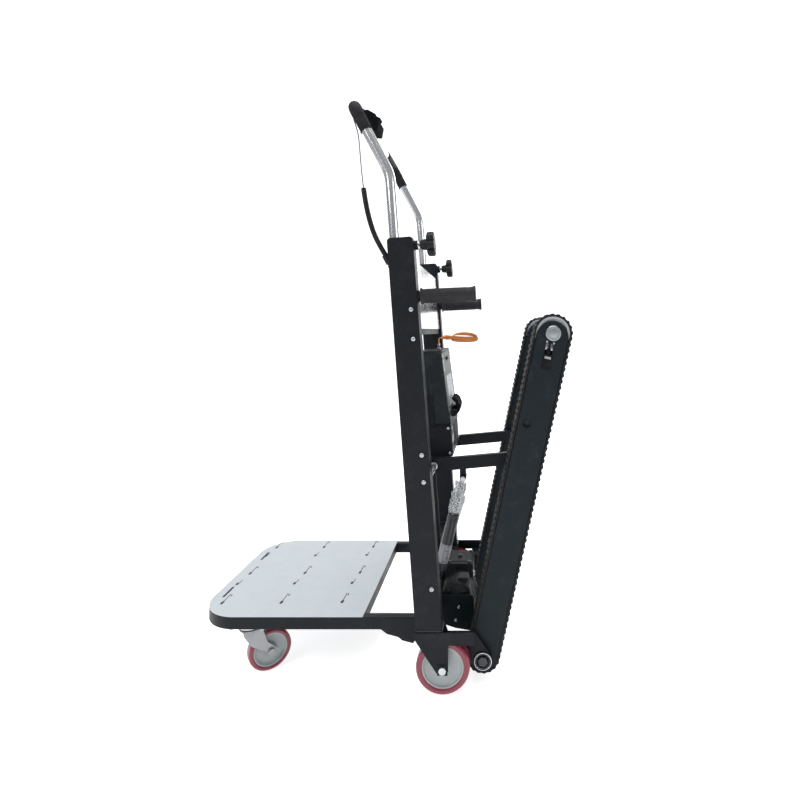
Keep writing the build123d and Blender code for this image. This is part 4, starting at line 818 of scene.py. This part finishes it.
def rear_axle(y):
    """Point on the rear wheels' axis."""
    return at(REAR_X, y, REAR_R)


axle_bits = bmesh.new()
dark_bits = bmesh.new()
for sign, side_name in SIDES:
    centre = rear_axle(sign * REAR_Y)
    out = SIDE * sign
    wheel(f"{side_name}_rear", centre, out, f"{side_name}_rear_wheel", REAR_R, 48, 36, 6.1,
          [f"{side_name}_rear_tyre", f"{side_name}_rear_hub"], 17)
    lathe(axle_bits, rear_axle(sign * 206), out, [(6, 0), (6, 60.5)], 28)
    hex_bolt(axle_bits, rear_axle(sign * (REAR_BOLT_OUT + 1.3)), out, 9.3, 5.0)
    hex_bolt(axle_bits, rear_axle(sign * 212), -out, 9.3, 5.6, washer=10.5)
    block(dark_bits, rear_axle(sign * (REAR_BOLT_OUT + 0.7)), (OUT, UP, out), (24, 24, 1.4))
    for dx in (-37, 37):
        for dy in (-27, 27):
            hex_bolt(axle_bits, at(CASTER_X + dx, sign * TOP_PLATE_Y + dy, TOP_PLATE_Z), -UP, 6,
                     4.2, washer=7.4)
piece("axle_and_caster_bolts", axle_bits, ZINC, replaces=["wheel_bolts"], slot="zinc", sharp=30)
piece("wheel_washers", dark_bits, BLACK, slot="black_paint", bevel=0.3)

# ---------------------------------------------------------------- casters
for sign, side_name in SIDES:
    yaw = math.radians(-sign * CASTER_YAW)
    trail = Vector((math.cos(yaw), math.sin(yaw), 0))
    across = trail.cross(UP)
    pivot = at(CASTER_X, sign * CASTER_Y, 0)
    centre = pivot + trail * CASTER_TRAIL * MM + UP * CASTER_R * MM
    wheel(f"{side_name}_caster", centre, across, f"{side_name}_caster_wheel", CASTER_R, 39.5, 30,
          5.1, [f"{side_name}_caster_tyre", f"{side_name}_caster_hub"], 13)
    bm = bmesh.new()
    lathe(bm, pivot + UP * 111.2 * MM, UP, [(6.2, 0), (20, 0), (24.5, 1.6), (26.8, 4.2),
                                            (27.2, 6.4), (6.2, 6.4)], 56, closed=True)
    for s in BOTH:
        inner, outer = 16.5 * s, 19.5 * s
        rings = []
        for u0, u1, z in ((-21, 22, 116), (-21, 23, 108), (-19, 25, 103), (-3, 33, 76),
                          (28.5, 56.5, 53), (30, 55.5, 46), (34, 51, 39.5), (39, 46, 37.2)):
            mid = pivot + UP * z * MM
            rings.append([mid + (trail * u + across * a) * MM
                          for u, a in ((u0, inner), (u1, inner), (u1, outer), (u0, outer))])
        loft(bm, rings)
        hex_bolt(bm, centre + across * outer * MM, across * s, 8.3, 4.9, washer=9.6)
    lathe(bm, centre - across * 24 * MM, across, [(5, 0), (5, 48)], 24)
    piece(f"{side_name}_caster_fork_pressed", bm, SHADED_FORK_ZINC, f"{side_name}_caster",
          [f"{side_name}_caster_fork"], "zinc", bevel=0.9, sharp=40)
bm = bmesh.new()
for sign in BOTH:
    pivot = at(CASTER_X, sign * CASTER_Y, 0)
    plate = rounded(92, 72, 8, OUT, SIDE, at(CASTER_X, sign * TOP_PLATE_Y, TOP_PLATE_Z))
    prism(bm, plate, UP * 4 * MM)
    lathe(bm, pivot + UP * 118 * MM, UP, [(6, 0), (23.4, 0), (25.8, 1.4), (27.6, 3.6), (28.4, 6.4),
                                          (29.6, 8), (6, 8)], 56, closed=True)
    lathe(bm, pivot + UP * 104.2 * MM, UP, [(5.9, 0), (5.9, 22)], 28)
    hex_bolt(bm, pivot + UP * 110.6 * MM, -UP, 9.4, 6.2)
piece("caster_plates_pressed", bm, ZINC, replaces=["caster_top_plates"], slot="zinc", bevel=0.6)

# ---------------------------------------------------------------- star knobs
KNOB_H, LOBES = 888, 7
KNOB_SIDES = LOBES * 14
for sign, side_name in SIDES:
    bm = bmesh.new()
    rings = []
    for t, scale, swell in ((58.6, 0.62, 0.2), (60, 0.9, 0.9), (61.5, 0.98, 1), (66, 1.0, 1),
                            (74, 1.0, 1), (76.4, 0.96, 1), (77.7, 0.86, 0.9), (78, 0.7, 0.7),
                            (77.2, 0.52, 0.3), (77.2, 0.2, 0)):
        ring = []
        for i in range(KNOB_SIDES):
            a = 2 * math.pi * i / KNOB_SIDES
            lobe = abs(math.cos(LOBES * a / 2)) ** 0.55
            r = (21.2 + 7.7 * lobe * swell) * scale
            ring.append(mast(t, KNOB_H + math.cos(a) * r, sign * MAST_Y + math.sin(a) * r))
        rings.append(ring)
    loft(bm, rings)
    lathe(bm, mast(44, KNOB_H, sign * MAST_Y), MAST_OUT,
          [(9.4, 0), (10.6, 1), (12.2, 7), (12.2, 11), (14.5, 15.5)], 40)
    piece(f"{side_name}_star_knob", bm, PLASTIC, f"{side_name}_knob",
          [f"{side_name}_clamp_knob"], "black_plastic", sharp=50)
    bm = bmesh.new()
    lathe(bm, mast(-2.1, KNOB_H, sign * MAST_Y), MAST_OUT,
          [(3.95 - 0.45 * (k % 2), k * 0.62) for k in range(75)], 20)
    lathe(bm, mast(38.2, KNOB_H, sign * MAST_Y), MAST_OUT,
          [(4, 0), (9, 0.2), (9, 1.6), (4, 1.8)], 32)
    piece(f"{side_name}_knob_screw", bm, STEEL, f"{side_name}_knob", slot="axle_steel", sharp=30)

# ---------------------------------------------------------------- push grips
GRIP_H, GRIP_RIBS = 769, 24
u, v = square_axes(GRIP_DIR)
bm = bmesh.new()
for sign in BOTH:
    base = mast(29, GRIP_H, sign * MAST_Y) + GRIP_DIR * 7 * MM
    lathe(bm, base, GRIP_DIR, [(12, 0.6), (18.6, 0), (19.5, 0.8), (19.5, 3.0), (18.4, 4.2),
                               (16.9, 5.4), (16.5, 9), (16.5, 112), (16.9, 119), (17.6, 121.5),
                               (19, 123.4), (19, 126.8), (18.2, 128), (15, 128.3), (6, 127.2),
                               (5.2, 124)], 56)
    for k in range(GRIP_RIBS):
        a = 2 * math.pi * k / GRIP_RIBS
        rib = (u * math.cos(a) + v * math.sin(a)) * 16.45 * MM
        tube(bm, [base + rib + GRIP_DIR * d * MM for d in (12, 14, 106, 108)], 0.55, 6,
             wobble=lambda i: 0.2 if i in (0, 3) else 1)
piece("push_grip_sleeves", bm, GRIP, replaces=["push_grips"], slot="grip_rubber", sharp=45)

# ---------------------------------------------------------------- screws and pivot bolts
bm = bmesh.new()
for sign in BOTH:
    for h in (96, 342, 404, 671, 739):
        socket_screw(bm, mast(14, h, sign * MAST_OUTER_Y), SIDE * sign, 5.2, 3.0)
for x, z in ((173, 144), (165.6, 112)):
    socket_screw(bm, at(x, -148, z), NEAR, 3.8, 2.6)
piece("frame_screw_heads", bm, ZINC, replaces=["frame_screws"], slot="zinc", sharp=32)
bm = bmesh.new()
CAP_SCREW_R = 18.6
for sign in BOTH:
    out = SIDE * sign
    lathe(bm, at(110, sign * 152.6, 497.8), out, [(9.8, 0), (9.8, 1.2), (8.6, 2.0), (5, 2.3)], 36)
    lathe(bm, at(AXLE_X, sign * 226.9, AXLE_Z), out,
          [(19.4, 0), (20.9, 0), (20.9, 0.7), (20.3, 1.0), (19.4, 1.0)], 48, closed=True)
    for k in range(4):
        a = math.radians(45 + 90 * k)
        socket_screw(bm, at(AXLE_X + CAP_SCREW_R * math.cos(a), sign * 227.6,
                            AXLE_Z + CAP_SCREW_R * math.sin(a)), out, 1.5, 1.2)
piece("pivot_bolt_caps", bm, ZINC, slot="zinc", sharp=32)
bm = bmesh.new()
hex_bolt(bm, at(182, -137.6, 462.5), NEAR, 6.4, 1.6)
piece("spring_bolt_cap", bm, ZINC, "link_arms", slot="zinc", sharp=32)

# ---------------------------------------------------------------- gas spring
SPRING_FOOT, SPRING_TOP = at(119.2, -110, 207.4), at(182, -110, 462.5)
SPRING_DIR = (SPRING_TOP - SPRING_FOOT).normalized()


def on_spring(along):
    """Point on the gas spring's axis, in mm from its foot."""
    return SPRING_FOOT + SPRING_DIR * along * MM


bm = bmesh.new()
lathe(bm, on_spring(158.5), SPRING_DIR, [(7.4, 0), (14.2, 0), (14.7, 1.2), (14.7, 3), (13, 4.6),
                                         (9.6, 6.4), (7.4, 6.4)], 44, closed=True)
for along in (24, 146, 151):
    lathe(bm, on_spring(along), SPRING_DIR, [(14.9, -1.3), (15.5, -0.6), (15.6, 0), (15.5, 0.6),
                                             (14.9, 1.3)], 48, closed=True)
piece("spring_gland", bm, SPRING, "gas_cylinder", slot="spring_paint", sharp=35)
bm = bmesh.new()
lathe(bm, on_spring(36), SPRING_DIR, [(14.9, 0), (15.2, 0.1), (15.2, 48), (14.9, 48.1)], 64,
      closed=True)
piece("spring_label_band", bm, SPRING_LABEL, "gas_cylinder", sharp=35)
bm = bmesh.new()
across, over = square_axes(SPRING_DIR)
FILM_START, FILM_END, FILM_ROWS, FILM_SIDES = 160, 246, 64, 56


def film_ring(row, thickness):
    """Crumpled ring of the film, or of its inner face if it has a thickness."""
    f = row / FILM_ROWS
    middle = on_spring(FILM_START + (FILM_END - FILM_START) * f)
    ring = []
    for k in range(FILM_SIDES):
        a = 2 * math.pi * k / FILM_SIDES
        way = across * math.cos(a) + over * math.sin(a)
        crumple = noise.noise(Vector((2.3 * math.cos(a), 2.3 * math.sin(a), f * 5)))
        crease = noise.noise(Vector((5 * math.cos(a), 5 * math.sin(a), f * 13 + 4)))
        swell = 12.5 + 4.5 * math.sin(math.pi * min(1, f * 1.15)) + 7.5 * crumple + 4.5 * crease
        ring.append(middle + way * (max(8.3, swell) - thickness) * MM)
    return ring


loft(bm, [film_ring(row, 0) for row in range(FILM_ROWS + 1)]
     + [film_ring(row, 0.35) for row in range(FILM_ROWS, -1, -1)], closed=True)
film = piece("spring_film", bm, FILM, "gas_cylinder", sharp=180)
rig.squash(film, "gas_rod_slide", SPRING_DIR, on_spring(160), keep=0.4)

# ---------------------------------------------------------------- motor and gearbox
bm = bmesh.new()
MOTOR_AXIS, MOTOR_FINS = at(166, 0, 160), 36
GEARBOX_REAR, GEARBOX_TOP = 205, 213
for k in range(MOTOR_FINS):
    a = 2 * math.pi * k / MOTOR_FINS
    way = OUT * math.cos(a) + UP * math.sin(a)
    block(bm, MOTOR_AXIS + way * 38.4 * MM - SIDE * 92 * MM, (way, way.cross(SIDE), SIDE),
          (2.2, 1.5, 52))
for y in (-64, -120, -127):
    lathe(bm, MOTOR_AXIS + SIDE * y * MM, NEAR, [(37.6, 0), (39, 0.6), (39, 3.4), (37.6, 4)], 72,
          closed=True)
lathe(bm, MOTOR_AXIS - SIDE * 135.4 * MM, NEAR, [(36, 0), (33, 1.2), (31, 1.6), (22, 1.6),
                                                 (20, 3.0), (15, 3.4), (14.2, 3.4)], 64)
piece("motor_fins_and_cap", bm, MOTOR, slot="motor_paint", bevel=0.3, sharp=40)
bm = bmesh.new()
for k in range(4):
    a = math.radians(45 + 90 * k)
    socket_screw(bm, MOTOR_AXIS + (OUT * math.cos(a) + UP * math.sin(a)) * 27 * MM
                 - SIDE * 136.8 * MM, NEAR, 3.4, 2.6)
for y in (-50, 16):
    hex_bolt(bm, at(GEARBOX_REAR, y, 132), OUT, 5.6, 3.6, washer=7.2)
    for x in (140, 195):
        hex_bolt(bm, at(x, y, GEARBOX_TOP), UP, 5.6, 3.6, washer=7.2)
lathe(bm, at(168, -18, GEARBOX_TOP), UP,
      [(7, -0.2), (7, 2), (5.5, 2.4), (5.5, 6), (4.4, 7.2), (2, 7.4)], 28)
piece("gearbox_bolts", bm, DARK_STEEL, slot="zinc", sharp=32)
bm = bmesh.new()
hex_bolt(bm, at(GEARBOX_REAR, -50, 184), OUT, 6.4, 4.2, washer=8)
piece("gearbox_bright_bolt", bm, ZINC, slot="zinc", sharp=32)
bm = bmesh.new()
for y in (-38, -18, 4):
    block(bm, at(GEARBOX_REAR, y, 150), (OUT, SIDE, UP), (4, 4, 40))
block(bm, at(168, -17, GEARBOX_TOP), (OUT, SIDE, UP), (58, 60, 3))
block(bm, at(182, -104, 199), (OUT, SIDE, UP), (26, 34, 10))
piece("gearbox_ribs", bm, CAST, slot="gearbox_cast", bevel=1.4, sharp=40, segments=3)

# ---------------------------------------------------------------- welds
bm = bmesh.new()
DUCT_FOOT_H = 73.5
for sign in BOTH:
    inner, outer = sign * MAST_INNER_Y, sign * MAST_OUTER_Y
    weld(bm, at(81.0, outer, 147.6), at(142, outer, 147.6), WELD_THIN)
    for x in (81.2, 142):
        weld(bm, at(x, inner, 147.8), at(x, outer, 147.8), WELD_WIDE)
    for t0, t1, heights in ((-8, 22, (680, 700, 830, 850)), (-28, -14, (340, 370)),
                            (-22, -2, (44, 74))):
        for h in heights:
            weld(bm, mast(t0, h, inner), mast(t1, h, inner), WELD_THIN)
    for low, high, t in ((680, 700, -8), (830, 850, -8), (340, 370, -28), (340, 370, -14),
                         (44, 74, -22), (44, 74, -2)):
        weld(bm, mast(t, low, inner), mast(t, high, inner), WELD_THIN)
    collar = mast(30, GRIP_H, sign * MAST_Y) + GRIP_DIR * 1.2 * MM
    weld_path(bm, arc(collar, u, v, 12.6, 0, 360, 18), 1.9)
for t in (-22, -14):
    for y in (-15, 15):
        weld(bm, mast(t, DUCT_FOOT_H, y - 2), mast(t, DUCT_FOOT_H, y + 2), WELD_SMALL)
piece("frame_welds", bm, WELD, slot="black_paint", sharp=180)

# ---------------------------------------------------------------- pull strap
bm = bmesh.new()
STRAP_X, STRAP_FOOT_Z, STRAP_LEVEL = 106.7, 784.6, 816
LOOP_X, LOOP_HALF, LOOP_STEPS = 178.7, 35.2, 24
# the strap's line: x, z and twist in degrees
path = [(STRAP_X, STRAP_FOOT_Z + 3 * k, 0) for k in range(9)]
path += [(STRAP_X + 6 - 6 * math.cos(math.radians(a)), 810.5 + 6.5 * math.sin(math.radians(a)), 0)
         for a in (20, 45, 70, 90)]
path += [(STRAP_X + x, STRAP_LEVEL + 2.4, turn) for x, turn in
         ((14, 25), (20, 40), (28, 35), (36, 20))]
for k in range(1, LOOP_STEPS + 1):
    f = k / LOOP_STEPS
    path.append((LOOP_X - LOOP_HALF * math.cos(math.pi * f),
                 STRAP_LEVEL + 2.4 + 9.0 * math.sin(math.pi * f) * (1.2 - 0.4 * f),
                 -40 * math.sin(math.pi * f) + 20 * (1 - f)))
for k in range(1, LOOP_STEPS + 1):
    f = k / LOOP_STEPS
    path.append((LOOP_X + LOOP_HALF * math.cos(math.pi * f),
                 STRAP_LEVEL - 1.4 - 3.4 * math.sin(math.pi * f) + 1.5 * f,
                 78 * math.sin(math.pi * f) ** 0.6 + 20 * f))
path += [(STRAP_X + x, STRAP_LEVEL, turn) for x, turn in
         ((36, 25), (28, 35), (20, 35), (13, 20), (6, 0))]
rings = []
for i, (x, z, twist) in enumerate(path):
    before, after = path[max(i - 1, 0)], path[min(i + 1, len(path) - 1)]
    ahead = Vector((after[0] - before[0], 0, after[1] - before[1])).normalized()
    turn = Matrix.Rotation(math.radians(twist), 3, ahead)
    wide = turn @ SIDE
    thick = ahead.cross(wide)
    mid = at(x, 0.6 * math.sin(i * 0.35), z)
    rings.append([mid + (wide * w + thick * n) * MM for w, n in
                  ((-7.6, -1.1), (7.6, -1.1), (8, -0.7), (8, 0.7), (7.6, 1.1), (-7.6, 1.1),
                   (-8, 0.7), (-8, -0.7))])
loft(bm, rings)
piece("pull_strap_webbing", bm, WEBBING, "battery", ["pull_strap"], "orange_webbing", sharp=50)
bm = bmesh.new()
for x in (124, 128, 132, 136, 140):
    for y in (-5, -1.7, 1.7, 5):
        tube(bm, [at(x - 1.3, y, 818.5), at(x, y, 818.9), at(x + 1.3, y, 818.5)], 0.35, 6)
piece("strap_stitches", bm, LABEL, "battery", sharp=180)
bm = bmesh.new()
block(bm, at(STRAP_X, 0, 787), (OUT, SIDE, UP), (9, 21, 4))
block(bm, at(STRAP_X, 0, 797), (OUT, SIDE, UP), (5.2, 19, 6))
piece("strap_clip", bm, ZINC, "battery", slot="zinc", bevel=0.6)

# ---------------------------------------------------------------- battery and controller
FACE_LEAN = MAST_LEAN + math.degrees(math.atan(11 / 190))
FACE_OUT, FACE_UP = direction(90 - FACE_LEAN), direction(-FACE_LEAN)
BOX_Y, FACE_TOP_T, FACE_TOP_H = 110, 60, 636


def on_face(y, v, out):
    """Point off the battery's leaning rear face; v from its top edge, all in mm."""
    return mast(FACE_TOP_T, FACE_TOP_H, y) + (FACE_UP * v + FACE_OUT * out) * MM


bm = bmesh.new()
prism(bm, rounded(147, 81, 3, SIDE, FACE_UP, on_face(15, -112, -1.2)), FACE_OUT * 0.5 * MM)
prism(bm, rounded(20, 44, 2, SIDE, FACE_UP, on_face(-92, -34, -0.2)), FACE_OUT * 0.4 * MM)
piece("battery_labels", bm, LABEL, "battery", sharp=30)
bm = bmesh.new()
prism(bm, rounded(34, 9, 3, SIDE, FACE_UP, on_face(0, -26, -1.2)), FACE_OUT * 4.2 * MM)
for y in (-9, -3, 3, 9):
    block(bm, on_face(y, -26, 3), (SIDE, FACE_UP, FACE_OUT), (1.6, 7, 1.4))
for y, v in ((98, -14), (-98, -150), (98, -150)):
    socket_screw(bm, on_face(y, v, -0.1), FACE_OUT, 3.6, 1.8)
piece("battery_latch", bm, PLASTIC, "battery", slot="black_plastic", bevel=0.4)
bm = bmesh.new()
for h, rear, depth in ((612, 61.9, 2.4), (629, 60.9, 3.0)):
    prism(bm, rounded(rear + 5.6, 2 * BOX_Y + 1.2, 6, MAST_OUT, SIDE,
                      mast((rear - 4.9) / 2, h)), MAST_UP * depth * MM)
for sign in BOTH:
    for t in (8, 18, 28, 38, 48):
        block(bm, mast(t, 560, sign * (BOX_Y + 0.3)), (MAST_OUT, MAST_UP, SIDE), (4, 84, 1.6))
piece("battery_bands_and_ribs", bm, CASE, "battery", slot="battery_plastic", bevel=0.5)
bm = bmesh.new()
for sign in BOTH:
    for t in (3, 63):
        for h in (370, 434):
            socket_screw(bm, mast(t, h, sign * BOX_Y), SIDE * sign, 3.6, 2.4)
for y in (-96, 96):
    for h in (372, 432):
        socket_screw(bm, mast(71, h, y), MAST_OUT, 3.6, 2.4)
piece("controller_screws", bm, ZINC, slot="zinc", sharp=32)
bm = bmesh.new()
for k in range(9):
    block(bm, mast(71.8, 380 + 6.4 * k, 18), (SIDE, MAST_UP, MAST_OUT), (120, 2.4, 2.6))
for y in (-60, -30):
    lathe(bm, mast(30, 361.4, y), -MAST_UP, [(9, 0), (9, 6), (7, 7), (7, 15), (5.6, 16), (3, 17)],
          32)
piece("controller_fins_and_plugs", bm, PLASTIC, slot="black_plastic", bevel=0.4)
bm = bmesh.new()
prism(bm, rounded(48, 20, 2, SIDE, MAST_UP, mast(71, 402, -78)), MAST_OUT * 0.3 * MM)
piece("controller_label", bm, LABEL, sharp=30)

# ---------------------------------------------------------------- film on the platform
bm = bmesh.new()
MARK_X, MARK_Y = (-414, -266, -113), (192, 19, -138)
FILM_TOP, MARK_DRIFT, MARK_THICK = 161.5, 4, 0.1
for column, x in enumerate(MARK_X):
    for y in MARK_Y:
        drift = rng.uniform(-MARK_DRIFT, MARK_DRIFT)
        mid = at(x + drift, y + 3 * column, FILM_TOP + 0.02)
        marks = [(2.2, 39, 0.8, mid), (7, 14, 2.6, mid - SIDE * 24 * MM),
                 (3, 9, 1.2, mid + at(5, 12, 0))]
        if y != MARK_Y[-1]:
            marks += [(7, 13, 2.5, mid - at(6, 84, 0)), (2, 16, 0.8, mid - at(3, 70, 0))]
        for width, length, corner, place in marks:
            prism(bm, rounded(width, length, corner, OUT, SIDE, place), UP * MARK_THICK * MM)
piece("film_marks", bm, PRINT, sharp=30)

# ---------------------------------------------------------------- handle sleeves
SLOPE_DOWN = (MAST_OUT * 75 - MAST_UP * 172).normalized()
HANDLE_T, HANDLE_H = -90, 1228
bm = bmesh.new()
for sign in BOTH:
    corner = mast(HANDLE_T, HANDLE_H, sign * MAST_Y)
    lathe(bm, corner + SLOPE_DOWN * 32 * MM, SLOPE_DOWN,
          [(12.6, 0), (14.6, 0.5), (14.4, 12), (14.2, 30), (13.9, 38), (13.2, 39.5), (12.6, 39.6)],
          40)
    for along in (33.4, 69.2):
        lathe(bm, corner + SLOPE_DOWN * along * MM, SLOPE_DOWN,
              [(14.0, 0), (15.2, 0.4), (15.2, 1.8), (14.0, 2.2)], 40, closed=True)
piece("handle_sleeve_tails", bm, FOAM, "handle", slot="grip_foam", sharp=40)

# ---------------------------------------------------------------- cable pipe beside the duct
PIPE_T = 3
bm = bmesh.new()
tube(bm, [mast(PIPE_T, h, 0) for h in (361.5, 300, 240, 180, 120, 80)]
     + [at(110.5, 0, 212), at(113.5, 0, 201), at(119, 0, 193), at(126, 0, 190)], 6, 20)
piece("cable_pipe", bm, BLACK, slot="black_paint", sharp=60)
bm = bmesh.new()
for h in (112, 206, 300):
    lathe(bm, mast(PIPE_T, h, 0), MAST_UP, [(6, 0), (7.2, 0.3), (7.2, 11.7), (6, 12)], 28,
          closed=True)
    block(bm, mast(-9, h + 6, 0), (MAST_OUT, SIDE, MAST_UP), (12, 12, 12))
lathe(bm, mast(PIPE_T, 353, 0), MAST_UP,
      [(6.2, 0), (9, 0.6), (9, 4), (10.5, 4.2), (10.5, 8.2)], 6)
piece("cable_pipe_clips", bm, PLASTIC, slot="black_plastic", bevel=0.5)

# ---------------------------------------------------------------- plugs in the track plates
bm = bmesh.new()
for sign in BOTH:
    lathe(bm, track(PLUG_T, PLUG_H, sign * TRACK_OUT_Y), SIDE * sign,
          [(9.4, -4), (10.2, -3.4), (10.2, -1.6), (9, -1.1), (7, -1.6), (3, -1.9)], 40)
piece("track_plate_plugs", bm, TRACK_BLACK, "tracks", slot="track_paint", sharp=40)
# dark crescents on the plates' outer faces: painted shade along the lower edge of a shallow dimple round each plug
bm = bmesh.new()
for sign in BOTH:
    dimple = track(PLUG_T, PLUG_H, sign * (TRACK_OUT_Y - 0.3))
    edge = arc(dimple, TRACK_OUT, TRACK_UP, 10.0, 185, 355, 16)
    edge += arc(dimple + TRACK_UP * 6 * MM, TRACK_OUT, TRACK_UP, 10.6, 322, 218, 12)
    prism(bm, edge, SIDE * sign * 0.5 * MM)
piece("track_plate_dimple_painted_shade", bm, MATT, "tracks", slot="black_plastic", sharp=40)

# ---------------------------------------------------------------- control wire
CORNER_CUTS = 4


def cut_corners(points):
    """Smooth line from a few corners, with both ends kept."""
    for _ in range(CORNER_CUTS):
        cut = [points[0]]
        for a, b in zip(points, points[1:]):
            cut += [a.lerp(b, 0.25), a.lerp(b, 0.75)]
        points = cut + [points[-1]]
    return points


wire_line = cut_corners([at(*corner) for corner in CONTROL_WIRE])
wire_length = sum((b - a).length for a, b in zip(wire_line, wire_line[1:]))
bm = bmesh.new()
tube(bm, wire_line, 1.5, 16)
wire = piece("control_cable_wire", bm, WIRE, None, ["control_wire"], "cable_grey", sharp=60)
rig.blend(wire, "frame", "handle", wire_line[0], wire_line[-1])
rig.cord(wire, exit=wire_line[0], length=round(wire_length, 4), diameter=0.003, far_end="object",
        stiffness="stiff", lay="hanging", path=wire_line)

# ---------------------------------------------------------------- size and finish
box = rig.bounds()
with open("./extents.json", "w") as size_file:
    json.dump({"cad": [list(corner) for corner in CAD_BOX],
               "visual": [list(corner) for corner in box]}, size_file)
